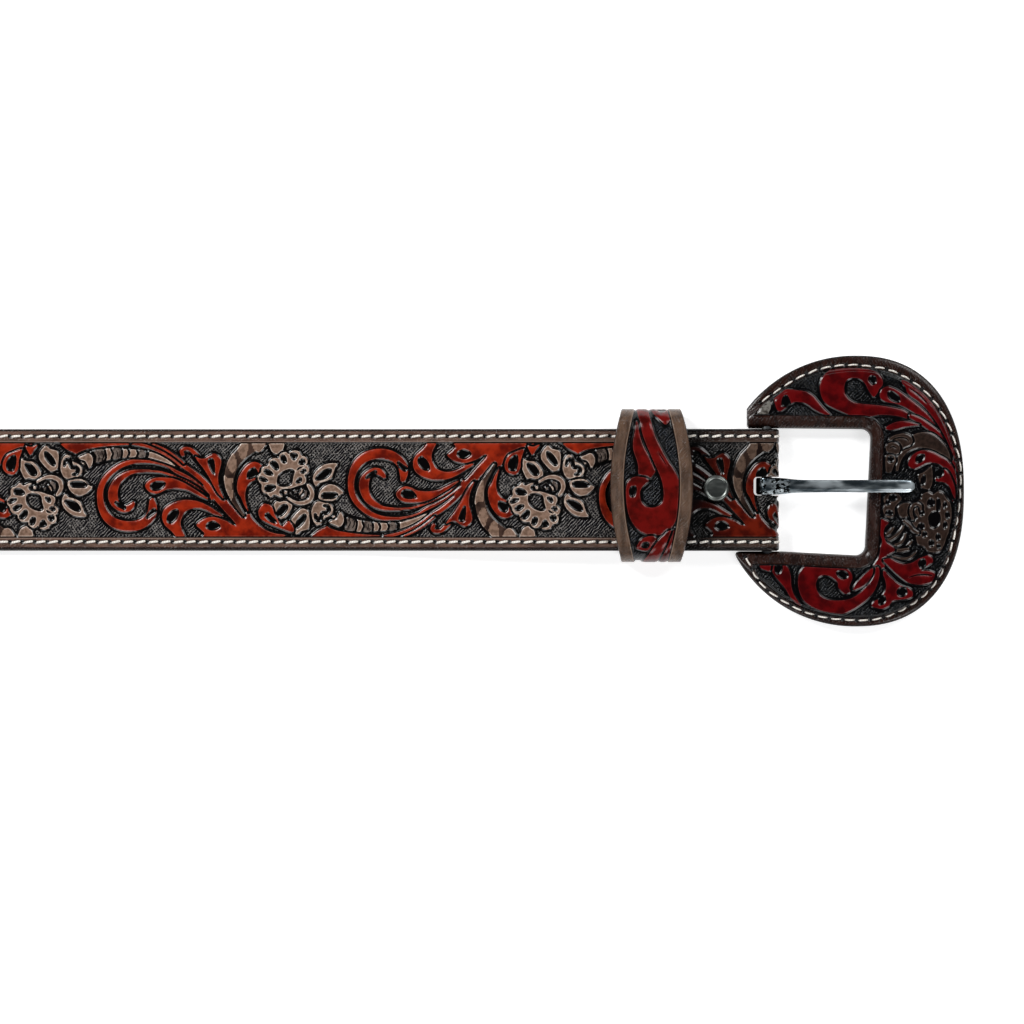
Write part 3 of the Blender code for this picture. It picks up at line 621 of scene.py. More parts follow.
vineCuts = [
    # tan vine with rings, from the flower over the scroll
    band("tan", (84, 460, 4.5), (89, 459, 6.2), (97, 456.5, 6.2), (106, 454.2, 5.8), (116, 453.4, 4.8),
         (127, 453.2, 4.1), (139, 453.3, 3.4), (151, 455.2, 2.9), (163, 459.8, 2.3), (173, 464, 1.7),
         (180, 467, 1)),
    patch("worn", (93, 450.6), (101.2, 449), (103.6, 453.4), (103.2, 459.4), (95.4, 462.4), (95.6, 456)),
    band("line", (96, 452, 0.4), (98.4, 457, 0.7), (97, 462, 0.4)),
    band("line", (100, 451, 0.4), (102.4, 456, 0.7), (101, 461, 0.4)),
    patch("worn", (111.6, 448.4), (118.6, 448.6), (120.2, 453), (118.4, 458), (112, 458.6), (113.4, 453.6)),
    band("line", (115, 449.6, 0.4), (116.8, 453.5, 0.6), (115.6, 458, 0.4)),
    patch("worn", (137.6, 450), (143.4, 450.4), (145, 454), (142.6, 457.4), (137.4, 456.8), (138.8, 453.4)),
    band("line", (126.5, 448, 1), (128.5, 453, 1.3), (126, 458, 1)),
    band("line", (146, 450.5, 1), (147.5, 454.5, 1.2), (145, 459, 1)),
    patch("tan", (77.5, 457.5), (83, 454.8), (87.5, 453.2), (90.8, 456), (92, 460), (91, 464.5),
          (88.3, 468), (86.5, 464.5), (84, 460.8), (80, 459.4)),
    # red ribbon along the top edge, running into the fan of stems
    patch("red", (58, 440), (61, 445), (66, 449.3), (72, 452.2), (75, 453.6), (78, 452), (84, 449.6),
          (92, 448), (101, 446.6), (112, 445.6), (124, 444.8), (136, 444.2), (136, 440), (100, 438)),
    band("red", (132, 443, 1.6), (148, 446.8, 1.4), (161, 452.3, 1.3), (171, 458, 1.4), (179.5, 463.8, 2.1),
         (190, 470.6, 2.3), (200, 478.6, 2.4), (208, 487, 2.7), (215, 495.5, 3.6), (224, 504, 4.2)),
    band("red", (150, 443, 0.7), (163, 448.5, 0.9), (174, 455.5, 0.9), (183, 463, 0.8)),
    # stems of the two scrolls
    band("red", (146, 461.3, 1.3), (158, 463.6, 0.9), (168, 467, 0.9), (175, 471.3, 1.5), (186, 476.8, 1.6),
         (196, 483.6, 1.6), (205, 491.6, 1.7), (211, 498, 2)),
    band("red", (146, 470.9, 1.2), (160, 472, 0.9), (170, 475, 1), (180, 479.2, 1.2), (190, 484.2, 1.3),
         (199, 490.2, 1.3), (206, 496, 1.1)),
    # outer scroll
    band("red", (149, 461.6, 1.3), (140, 461.4, 1.6), (130, 462, 2.2), (120, 465.4, 2.5), (110.5, 472, 2.7),
         (104, 479.3, 2.9), (100, 488, 3), (99.2, 498, 3.1), (101.2, 508, 3.7), (106, 516.8, 4.4),
         (114, 523.3, 4.8), (125, 526.2, 5), (136, 525.4, 5), (145, 521.2, 4.7), (150.8, 514.2, 4.7),
         (152, 506.8, 4.1), (151.3, 500.6, 2.6), merged=True),
    band("hollow", (146.5, 517.5, 0.9), (149.8, 513.6, 2), (153.2, 511, 2.2)),
    # inner scroll
    band("red", (149, 470.8, 1.2), (140, 471, 1.5), (131, 472, 2), (124, 475, 2.9), (117.4, 480, 3.7),
         (113.4, 487, 4.3), (112, 494, 4.8), (113.2, 501, 4.6), (117, 506.4, 3.5), (122, 509, 3.1),
         (127, 508.4, 3.3), (130.8, 505.6, 2.6), (132.6, 503, 1.4), merged=True),
    band("hollow", (115, 502.6, 1.1), (118.6, 505, 1.9), (123.4, 508, 1.5)),
    # leaf above, with its eye
    patch("red", (144.4, 486), (147, 481), (153, 478), (162, 477.4), (172, 478.4), (182, 482.2), (192, 488),
          (200, 493.2), (208, 499.4), (200, 496.8), (192, 492.8), (185, 489.8), (175, 488.6),
          (165.6, 489.6), (160, 492.2), (154, 493.6), (148, 491.4)),
    patch("hollow", (149.6, 486), (153, 482.4), (159, 481.6), (164.4, 483), (163, 486.4), (159, 489.6),
          (152.6, 490.2)),
    # leaf below, with its eye and the lobe that runs to the edge
    patch("red", (161.4, 515), (163.6, 508.8), (168.4, 504.6), (175, 501.5), (182, 500), (190, 500),
          (198, 501.6), (206, 505), (214, 510), (222, 515.6), (216, 516), (207, 511), (198, 508.2),
          (191, 508.7), (185, 511.6), (181.4, 517), (179.8, 523), (181, 529), (184.6, 538), (177, 538),
          (171, 531.4), (165, 526), (162, 520.6)),
    patch("hollow", (166.4, 520), (168, 514.6), (172.4, 510.4), (177, 510), (177.6, 514), (174.6, 519.6),
          (169.4, 523.4)),
    # leaf that looks like an eye, and the mass that the stems run into
    patch("red", (195.8, 525), (200, 520.6), (206, 517.8), (213, 517), (220, 518.8), (227, 521.6),
          (233, 525.4), (239, 524), (243.4, 520.6), (245, 515), (247.4, 511), (252, 518.6), (258, 525),
          (266, 530.4), (275, 533.6), (284, 535), (284, 540), (207, 540), (204, 533.4), (199.6, 529)),
    band("red", (205, 485, 2.2), (213, 494, 3.2), (221, 502, 3.8), (229, 510, 4.6), (237, 517.4, 5.4),
         (244, 526, 6), merged=True),
    patch("hollow", (205.6, 526.6), (208, 522.8), (212.6, 521.4), (217, 523.6), (219.4, 526.6),
          (215, 529.4), (209.6, 529.8)),
    # tulip leaf with its hook
    band("red", (182, 454.6, 1.8), (180.8, 451, 1.8), (184, 448.6, 1.8), (189.6, 449.4, 1.9),
         (194, 453.2, 2.2), (198, 458.4, 2.8)),
    patch("red", (194.6, 456.4), (199, 458.4), (204, 458.4), (208.4, 455.6), (213.4, 453.4), (218, 456),
          (220.6, 461), (219.4, 468), (217.6, 475), (217.6, 482), (219.2, 489), (223, 498.6), (217.4, 493),
          (213, 485.6), (208.4, 477), (203, 468.6), (198, 462.2)),
    band("hollow", (210.2, 461.4, 2.9), (211.6, 467, 2.2), (213, 473, 0.9)),
    # long leaf beyond the arc
    patch("red", (248, 512), (243.6, 505), (240.6, 498), (237, 491.6), (236.6, 484), (238.8, 475.6),
          (243, 468.4), (248, 463.6), (254, 461.8), (259.6, 464), (263.4, 468.6), (263.6, 474),
          (260, 477.6), (255.4, 479.4), (250.4, 482), (246.6, 486.4), (244.8, 492), (244.6, 498),
          (246, 505)),
    patch("hollow", (246.8, 474.4), (249.6, 469.6), (253.6, 468), (256.4, 471.2), (255.6, 475.6),
          (251.4, 478), (247.6, 478.6)),
    # arc of tan lobes
    band("brown", (262, 442, 4.5), (250, 447, 6.2), (240, 454, 6.6), (233, 463, 6), (229.6, 472, 5.2),
         (228.4, 481, 4.4), (229.4, 490, 3.4), (232.6, 499, 2.7), (237.4, 507, 2), (243, 515.4, 0.9)),
    patch("tan", (251.6, 441), (252, 446), (254, 450), (258, 452), (262, 449.4), (264.4, 445), (264, 441),
          merged=True),
    patch("tan", (237.6, 447.4), (237.6, 452), (239.4, 456.6), (242.4, 459), (245.6, 456.6), (247.2, 451),
          (247.6, 445), (246, 442), (241, 443), merged=True),
    patch("tan", (232.4, 453), (229.4, 457), (226.6, 463.6), (228, 468.6), (231.8, 472.8), (235, 469.4),
          (236.4, 463.6), (235, 458), merged=True),
    patch("tan", (223.4, 475.6), (224, 484), (226.2, 492), (231, 500.4), (232, 494), (231.6, 486),
          (231.8, 478.6), (227, 478), merged=True),
    patch("tan", (268.6, 440), (269.4, 447), (272, 452), (277, 453.8), (281.4, 451), (283.4, 446),
          (283, 440)),
    # flower
    patch("tan", (20, 457), (22.2, 460), (27, 461.2), (31.4, 461.8), (36, 466), (40, 473), (38.4, 477),
          (33, 479), (28, 478), (24, 478.6), (21, 473.4), (18.4, 466.4), (18.2, 461)),
    patch("hollow", (24, 463.8), (27, 463.4), (31.4, 465.6), (35.8, 472), (34, 475.6), (29.4, 474.4),
          (25.4, 469)),
    patch("tan", (45, 445.6), (49, 448.8), (56, 451), (57.6, 456), (57.2, 463), (56, 469), (50.4, 471.4),
          (46, 468.6), (42, 464.2), (38.6, 459.6), (38, 454.6), (41, 449)),
    patch("hollow", (43.8, 451.6), (47.6, 453.2), (52, 458), (54.4, 463.4), (52.4, 465.8), (48, 462.6),
          (44.4, 457.6)),
    patch("tan", (59.8, 470), (60, 464), (61.6, 458.6), (65, 454.8), (68.6, 456), (72, 461.4),
          (77.6, 464.2), (81, 468.6), (80.2, 474), (75, 477.6), (69.4, 478.6), (63.4, 477.4)),
    band("hollow", (63.3, 465.4, 1), (64.8, 460.8, 1.6), (67.6, 459.8, 1.7), (69.4, 463.4, 1.6),
         (70.9, 467, 1.5), (74.4, 467.2, 1.7), (76.9, 470, 1.7), (75.4, 473.6, 1.5), (72.2, 474.4, 0.9)),
    patch("tan", (66.8, 482), (71, 480), (78, 479), (84, 480.6), (87.8, 485), (91.4, 487.2), (88, 491.2),
          (83, 494.8), (77, 495.6), (71, 492.4), (67.6, 487.4)),
    patch("hollow", (69.8, 482.6), (76, 481.4), (82, 482), (86, 485), (83.4, 487.2), (76, 487.4),
          (70.8, 486.6)),
    patch("tan", (64.4, 494), (67.4, 497), (74, 499), (79.2, 502), (81.4, 507), (83.2, 512.4),
          (85.4, 516.4), (77, 516.6), (70, 514.2), (63.6, 508.4), (61, 502.4), (62, 497)),
    patch("hollow", (63.6, 500.6), (69.6, 500.4), (75.6, 503), (79, 507.6), (79, 511), (74, 510.6),
          (67.4, 506.4)),
    # curls in the flower's middle
    band("tan", (36.3, 481.7, 1.1), (41.6, 478.6, 1.3), (47, 476.9, 1.7), (53.3, 477.7, 2.2),
         (58.2, 481.3, 2.6), (59.8, 486.6, 2.5), (58.2, 492, 1.9), (54.6, 496.4, 0.9)),
    band("line", (50.6, 479.6, 0.4), (55.6, 482, 0.9), (57.4, 487, 0.8), (56, 491.6, 0.4)),
    patch("worn", (49, 481.6), (52.4, 482), (54.6, 485.6), (54, 489.6), (51.4, 490.4), (49.6, 486.4)),
    band("tan", (33.5, 487.2, 1.3), (34.6, 490, 0.9)),
    # painted glints inside the curl: a raised grey dot and a pale raised stroke
    band("worn", (43.2, 488.2, 1), (44, 488.8, 1)),
    band("tan", (47.4, 485.6, 0.5), (49.4, 488, 0.8), (50.4, 490.8, 0.5)),
    # blossom: scalloped petals round a hatched middle
    patch("tan", (18.8, 482.6), (20.8, 484.8), (23, 485.4), (25.4, 484.2), (28.8, 483), (30.6, 483.6),
          (28.2, 485.4), (27.2, 488), (29, 490.6), (33, 491.4), (37.6, 491.6), (42, 492.8), (46.6, 494.4),
          (50.4, 495.4), (53.4, 497.2), (54.2, 500.6), (52.8, 504), (52.6, 505.4), (55, 506.6),
          (57.2, 509.6), (56.4, 512.8), (54.6, 514.8), (51, 513), (47, 510.4), (44.4, 509.2), (46.2, 512.6),
          (50, 513.6), (54.2, 515.4), (55.6, 519), (54, 522.8), (50.4, 524.2), (48.8, 525.2), (47.6, 528.2),
          (43.6, 529.6), (39.4, 528.8), (36.6, 525.8), (34.6, 527.8), (31, 527.6), (27.8, 525.2),
          (26.6, 521.8), (24, 522), (20.2, 521.4), (17.2, 518.6), (16, 514.6), (12.2, 513.4), (9.6, 510.6),
          (8.6, 506.8), (6.4, 504.4), (5.6, 501), (7.6, 497.6), (9.8, 495.2), (9.6, 491), (11.2, 487.6),
          (15, 486.2)),
    patch("ground", (25.6, 494.8), (29.4, 493.1), (35.1, 493.3), (39.2, 495.1), (40.8, 498.4),
          (41.4, 502.9), (42.9, 507.8), (42, 510.2), (38.8, 511.4), (34.7, 510.6), (30.2, 508.6),
          (26.5, 505.3), (24.9, 501.2), (24.7, 497.6)),
    patch("hollow", (13.3, 489.4), (17.1, 488.4), (21, 490), (23.6, 493), (21, 495), (14.9, 494.5),
          (13, 492.2)),
    patch("hollow", (7.5, 501.2), (10.6, 498.8), (15.3, 498.8), (14.6, 500.7), (10.6, 503.1), (8.2, 503.1)),
    patch("hollow", (11.9, 508.4), (13.7, 506.4), (17.1, 504.9), (20.7, 505.3), (19.9, 507.6),
          (16.2, 510.5), (13.3, 510.5)),
    patch("hollow", (18.4, 516.5), (20.6, 513), (24.4, 510), (26.5, 512), (25.7, 515.7), (22.7, 518.8),
          (19.8, 518.7)),
    patch("hollow", (29, 523), (29.4, 519.4), (31.8, 517.2), (34.3, 518.3), (33.9, 522.2), (32, 524.8),
          (30, 524.8)),
    patch("hollow", (38.5, 525.7), (39.9, 521.9), (42.4, 520.1), (44.5, 522.5), (45.6, 525), (42.7, 526.8),
          (39.5, 526.8)),
    patch("hollow", (47, 516.8), (49.1, 515.6), (52.3, 516.2), (53, 519.1), (50.9, 521.1), (48.5, 520.4)),
    patch("hollow", (48.8, 507.9), (51, 506.7), (53.8, 508.4), (53.8, 510.3), (51.8, 510.9), (49.5, 509.3)),
    patch("hollow", (44.2, 497.4), (48, 497.5), (49.7, 500.4), (48.7, 502.4), (46, 501)),
]

# The leaf between two halves sits a little differently in every other one
leafByHalf = [
    [
        patch("red", (1.6, 464.6), (3, 459.4), (6.2, 454.8), (12, 452), (20.6, 449.2), (19.2, 455.4),
              (17.6, 461), (17.2, 468), (13.2, 474.2), (7, 473.8), (2.6, 470)),
        patch("hollow", (5.4, 464.4), (8.6, 457.6), (13.4, 455.2), (14.8, 459), (14, 466), (11.8, 470.6),
              (7, 470)),
        patch("red", (24.6, 446), (26.6, 451), (29.6, 455), (33, 450), (36.6, 444.6), (30.4, 446.8)),
    ],
    [
        patch("red", (6.4, 468), (8, 462), (12, 458.8), (18, 455.8), (24, 453.4), (30, 451), (38, 448),
              (42, 449), (40.4, 455), (36.4, 459), (33, 456.4), (30.6, 453.6), (28, 455.4), (26, 460),
              (22.4, 466), (20, 473), (16, 475.6), (11, 476), (8, 472.4)),
        patch("hollow", (13, 464.6), (17, 459.6), (22.6, 456.8), (24, 459), (19.6, 463.4), (16, 467)),
    ],
]


def vineCutsAlong(first, last):  # every other half is turned over, and the run stretches under the keeper
    cuts = []
    for half in range(first, last):
        flipped = half % 2 == 1
        shift = half * vine["repeat"]
        for cut in vineCuts + leafByHalf[half % 2]:
            rows = []
            for row in cut["rows"]:
                y = 2 * vine["middle"] - row[1] if flipped else row[1]
                x = row[0] + shift
                hidden = (x - vine["stretchFrom"]) / (vine["stretchTo"] - vine["stretchFrom"])
                rows.append((x + vine["stretch"] * float(smoothStep(hidden)), y, *row[2:]))
            cuts.append(dict(cut, rows=rows))
    return cuts


# Prong's slot and stud's hole through the strap
slotShape = {
    "width": 5.8, "back": 4.25, "corner": 1.2, "past": 8.0, "heights": (-4.0, 14.0),
    "studBack": 15.9, "studY": 0.9, "hole": 1.9,
}


def cutSlot(strap):
    s = slotShape
    half, corner = s["width"] / 2, s["corner"]
    outline = [(barX + s["past"], prongY + half)]
    for sign in (1, -1):
        angles = np.linspace(0, math.pi / 2, 8)[::sign]
        outline += [
            (barX - s["back"] + corner * (1 - math.sin(a)),
             prongY + sign * (half - corner * (1 - math.cos(a))))
            for a in angles
        ]
    outline.append((barX + s["past"], prongY - half))
    build = bmesh.new()
    low, high = [[build.verts.new((x * mm, y * mm, z * mm)) for x, y in outline] for z in s["heights"]]
    build.faces.new(low)
    build.faces.new(high[::-1])
    for i in range(len(outline)):
        j = (i + 1) % len(outline)
        build.faces.new((low[i], high[i], high[j], low[j]))
    radius = s["hole"] * mm
    post = bmesh.ops.create_cone(
        build, cap_ends=True, segments=32, radius1=radius, radius2=radius, depth=0.03,
    )
    bmesh.ops.translate(build, verts=post["verts"], vec=Vector((barX - s["studBack"], s["studY"], 5)) * mm)
    bmesh.ops.recalc_face_normals(build, faces=build.faces)
    mesh = bpy.data.meshes.new("slotCutter")
    build.to_mesh(mesh)
    build.free()
    cutter = addObject("slotCutter", mesh)
    boolean = strap.modifiers.new("slot", "BOOLEAN")
    boolean.operation = "DIFFERENCE"
    boolean.solver = "MANIFOLD"
    boolean.object = cutter
    toPlainMesh(strap)
    bpy.data.objects.remove(cutter)


# Keeper: a loop of the same leather, wider over the front
keeperShape = {
    "thickness": 2.0, "halfLength": 23.95, "halfWidth": 9.1, "bulge": 3.8, "bulgeFrom": 0.6,
    "lowRadius": 3.0, "highRadius": 6.6, "room": 4.9, "bow": 0.5, "frontArc": 82.0,
    "border": 4.45, "borderLine": 0.3, "edgeRound": 0.6, "innerRound": 0.5,
    "foreshortening": 0.35,  # least share of a length round the sides that the pattern takes
    "pitch": 0.25, "backRows": 17, "columns": 104, "innerColumns": 6,
}
keeperPaint = dict(strapPaint, **{
    # the second colour is a painted glint on the stamped ground's lines
    "ground": "#020203", "hatchAndGlint": "#202329", "red": "#600a07", "redDark": "#3a0503", "redRim": "#7d3834",
    "redWear": 0.5, "border": "#5a4537", "borderDark": "#3d2d23", "borderRim": "#766254", "edge": "#2a1d17",
    "edgeWidth": 0.3, "gloss": (0.16, 0.24), "streaks": "streakAcross", "farShade": 0.0, "keeperShadow": 0.0,
})
keeperCuts = [
    # second stem, left of the thick one
    patch("red", (635.6, 423), (634.4, 431), (632.6, 440), (632.4, 447), (633.4, 453), (636, 460),
          (637.6, 467), (637.8, 474), (641, 478), (646, 481), (650, 478), (654.4, 472), (654, 466.4),
          (650, 459.6), (645.6, 452), (641.4, 443), (638.6, 433), (637.4, 425)),
    band("line", (640, 428, 0.5), (643.6, 440, 0.9), (648, 451, 1.1), (651, 458, 0.7)),
    # thick stem that curls into the hook
    patch("red", (636.6, 394), (636.4, 412), (639.6, 424), (642, 435), (645, 443.4), (648.2, 451),
          (652, 460), (655.4, 467.4), (658.4, 474), (661, 481), (662.4, 488), (662.9, 495), (661.8, 501.4),
          (658, 505.6), (652, 507.6), (646, 506.6), (641.6, 503), (639.6, 497.6), (639.4, 492),
          (641.4, 487.4), (645, 484), (648, 481), (645.6, 478.4), (641, 477.4), (635.4, 476.8),
          (630.4, 478.6), (627, 482.4), (625.4, 489), (625.4, 497), (626.4, 507), (628.4, 515.6),
          (632.4, 523.6), (638, 530), (645.4, 533.8), (654.6, 535), (663, 533.4), (669.4, 529),
          (673.6, 523), (676, 516), (678.2, 508), (679.2, 499), (679.2, 489), (678, 481), (675.6, 474.4),
          (672.4, 468.6), (668.4, 463), (664.4, 456.4), (660, 448), (655.8, 439.6), (652.6, 431),
          (650, 422), (647.6, 412), (646.4, 394)),
    band("line", (657.4, 452, 0.3), (661.6, 459, 0.6), (666, 466, 0.3)),
    patch("hollow", (629.6, 495), (629, 490.4), (631, 487), (634.4, 486.6), (635.6, 489.4), (634.2, 494.4),
          (632, 497)),
    # leaf at the top right
    patch("red", (649.4, 400), (650, 411), (653, 416), (656.6, 419.4), (660.4, 422.6), (664.4, 425.8),
          (667.6, 424), (669.8, 419.6), (670.8, 413), (671, 400)),
    patch("hollow", (657, 411), (661, 410.4), (665.6, 411.6), (664, 414), (659.6, 414.2)),
    # leaf at the bottom
    patch("red", (636, 547), (638.4, 541.6), (642.4, 537.8), (648, 536), (653.4, 536.2), (656, 539.6),
          (653, 544), (649, 548), (645, 549.4), (640, 548.6)),
    patch("hollow", (641.6, 546), (642.4, 542.8), (646, 541.8), (648.4, 543.6), (646.4, 546.4)),
    # two stems that leave at the bottom
    patch("red", (668, 530.6), (663.4, 534.6), (658.4, 539.4), (652.6, 546.4), (647.4, 553.6), (642, 561),
          (640, 578), (654, 578), (656.6, 561), (660.4, 553), (664.6, 545), (668.6, 537), (672, 531)),
    patch("red", (674.4, 527), (670.4, 537), (666.6, 545.4), (662.4, 553.6), (659, 561), (657, 578),
          (671, 578), (671.4, 561), (673, 548), (675, 538), (676, 528)),
]


def keeperPath():  # rows of y, z, outward normal y and z, y in the pattern, 1 on the back
    s = keeperShape
    side = s["halfLength"] - s["thickness"] / 2
    top = strapShape["keeperTop"] + s["room"] + s["thickness"] / 2
    lowY, lowZ = side - s["lowRadius"], s["thickness"] / 2 + s["lowRadius"]
    highY, highZ = side - s["highRadius"], top - s["bow"] - s["highRadius"]
    arc = math.radians(s["frontArc"])
    startY, startZ = highY + s["highRadius"] * math.cos(arc), highZ + s["highRadius"] * math.sin(arc)
    y = np.arange(0, startY, s["pitch"])
    slope = 2 * (top - startZ) * y / startY ** 2
    size = np.hypot(1, slope)
    front = np.stack([y, top - (top - startZ) * (y / startY) ** 2, slope / size, 1 / size], 1)
    angle = np.linspace(arc, 0, 36)
    high = np.stack([
        highY + s["highRadius"] * np.cos(angle), highZ + s["highRadius"] * np.sin(angle),
        np.cos(angle), np.sin(angle),
    ], 1)
    wall = [(side, z, 1.0, 0.0) for z in np.linspace(highZ, lowZ, 8)[1:]]
    angle = np.linspace(0, -math.pi / 2, 16)[1:]
    low = np.stack([
        lowY + s["lowRadius"] * np.cos(angle), lowZ + s["lowRadius"] * np.sin(angle),
        np.cos(angle), np.sin(angle),
    ], 1)
    back = [(y, s["thickness"] / 2, 0.0, -1.0) for y in np.linspace(lowY, 0, s["backRows"] + 1)[1:]]
    half = np.vstack([front, high, wall, low, back])
    step = np.diff(half[:, :2], axis=0)
    unrolled = np.maximum(np.abs(step[:, 0]), s["foreshortening"] * np.hypot(step[:, 0], step[:, 1]))
    pattern = np.concatenate([[0], np.cumsum(unrolled)])
    isBack = np.concatenate([np.zeros(len(half) - s["backRows"]), np.ones(s["backRows"])])
    half = np.column_stack([half, pattern, isBack])
    mirrored = half[1:-1][::-1] * np.array([-1, 1, -1, 1, -1, 1])
    return np.vstack([half, mirrored])


def makeKeeper():
    s = keeperShape
    low, high = [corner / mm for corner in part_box("keeper")]
    centreX, centreY = (low.x + high.x) / 2, (low.y + high.y) / 2
    y, z, normalY, normalZ, pattern, isBack = keeperPath().T
    bulged = s["halfWidth"] + s["bulge"] * (1 - np.minimum(1, np.abs(y) / s["halfLength"]) ** 2)
    half = mix(s["halfWidth"], bulged, smoothStep((normalZ + 1) / s["bulgeFrom"]))
    v = np.linspace(-1, 1, s["columns"])
    x = half[:, None] * v[None]
    edge = half[:, None] - np.abs(x)
    points = np.stack([
        toPixel(centreX + x, 0)[0], np.repeat(toPixel(0, centreY + pattern)[1][:, None], len(v), 1)
    ], -1).reshape(-1, 2)
    raised, tone, smooth = [part.reshape(x.shape) for part in carve(points, keeperCuts)]
    field = edge - s["border"] - 30 * isBack[:, None]  # the back is plain
    raised = np.minimum(raised * photo["mmPerPixel"], field - tooling["crease"])
    border = creaseHeight(edge - s["border"], s["borderLine"])
    height = withBorder(border, reliefHeight(raised), field) - edgeDrop(edge, s["edgeRound"])
    out = s["thickness"] / 2 + height
    face = np.stack([x, y[:, None] + normalY[:, None] * out, z[:, None] + normalZ[:, None] * out], -1)
    w = np.linspace(1, -1, s["innerColumns"] + 2)
    inward = s["thickness"] / 2 - np.where(np.abs(w) == 1, s["innerRound"], 0.0)[None]
    inner = np.stack([
        half[:, None] * w[None], y[:, None] - normalY[:, None] * inward,
        z[:, None] - normalZ[:, None] * inward,
    ], -1)
    rings = np.concatenate([face, inner], 1) + np.array([centreX, centreY, 0])
    flat = np.zeros((len(y), len(w)))
    values = {"raised": (raised, -1), "tone": (tone, 0), "smooth": (smooth, 0), "field": (field, -5),
              "inner": (tone * 0, 0), "hole": (tone * 0 + farAway, farAway)}
    attributes = {key: np.concatenate([part, flat + rest], 1) for key, (part, rest) in values.items()}
    attributes["edge"] = np.concatenate([edge, np.where(np.abs(w) == 1, 0.0, -1.0)[None] + flat], 1)
    return meshFromRings("tooledKeeper", rings, attributes, closedPath=True)


# Buckle's frame: a C of metal under tooled leather, with a stitched rim and a smooth band round its window
buckleShape = {
    "radius": 42.4, "reach": 34.45, "squareness": 2.38, "rise": 1.9, "crown": 0.8,
    "windowTop": (19.56, 19.25), "windowBottom": (-18.86, -20.2), "windowRight": (5.1, 3.1),
    "corner": 2.9, "lowArm": 0.72,  # the narrow arm's height against the widest part's
    "besideStrap": -22.6,  # the arms run straight to here, close to the strap's edges
    "upperEnd": -33.7, "upperTop": 24.6, "lowerEnd": -36.9, "fullWidth": 12.5,
    # share of the window's edge, direction of the outer end in degrees, rim's width against the widest
    "rows": [
        (0.0, 143.5, 1.0), (0.06, 132.0, 1.0), (0.16, 112.0, 1.0), (0.26, 90.0, 1.0), (0.33, 66.0, 1.0),
        (0.365, 50.0, 0.95), (0.43, 26.0, 0.78), (0.5, 0.0, 0.62), (0.57, -26.0, 0.6), (0.64, -52.0, 0.66),
        (0.675, -68.0, 0.72), (0.74, -90.0, 0.78), (0.84, -112.0, 0.76), (0.94, -138.0, 0.64),
        (0.985, -149.0, 0.6), (1.0, -151.8, 0.6),
    ],
    # sections as rows of distance from the edge and height
    "outerProfile": [(0.7, 0.0), (0.2, 0.25), (0.0, 0.7), (0.0, 1.6), (0.05, 2.5), (0.25, 2.85),
                     (0.6, 3.05)],
    "rimProfile": [(1.2, 3.22), (2.0, 3.36), (2.9, 3.44), (3.5, 3.62), (3.9, 4.05), (4.4, 4.7),
                   (5.2, 5.12), (6.4, 5.42)],
    "innerProfile": [(4.9, 5.56), (4.2, 5.5), (2.9, 5.28), (2.0, 4.98), (1.1, 4.5), (0.5, 3.9),
                     (0.1, 3.2), (0.0, 2.6), (0.0, 0.9), (0.25, 0.25), (0.7, 0.0)],
    "innerOnFace": 6,  # how many rows of innerProfile belong to the face
    "stitchInset": 3.0, "seamRoom": 0.85, "channel": 0.12, "channelHalf": 0.6, "flatEdge": 0.9,
    "band": 4.3, "bandLine": 0.28, "bandBlend": 0.5, "relief": 0.85, "endRound": 1.1, "endShrink": 0.85,
    "endStations": 60, "stations": 560, "topColumns": 112,
}
bucklePaint = dict(strapPaint, **{
    # the second colour is a painted glint on the stamped ground's lines
    "ground": "#010101", "hatchAndGlint": "#181b1f", "groove": "#010001",
    "red": "#570305", "redDark": "#360103", "redRim": "#6b2c2e", "redWear": 0.4,
    "tan": "#2a1e19", "tanDark": "#1d1410", "tanEdge": "#2c211c", "tanRim": "#5a4a42", "tanWear": 0.6,
    "brown": "#2a1b16", "brownDark": "#1a100d", "worn": "#6a6762", "wornDark": "#28231f",
    "border": "#25120c", "borderDark": "#160a07", "borderRim": "#301c15",
    "band": "#2a1610", "bandDark": "#180b08", "edge": "#0c0605", "edgeWidth": 0.5,
    "gloss": (0.14, 0.24), "streaks": "streakAcross", "farShade": 0.0, "keeperShadow": 0.0,
})
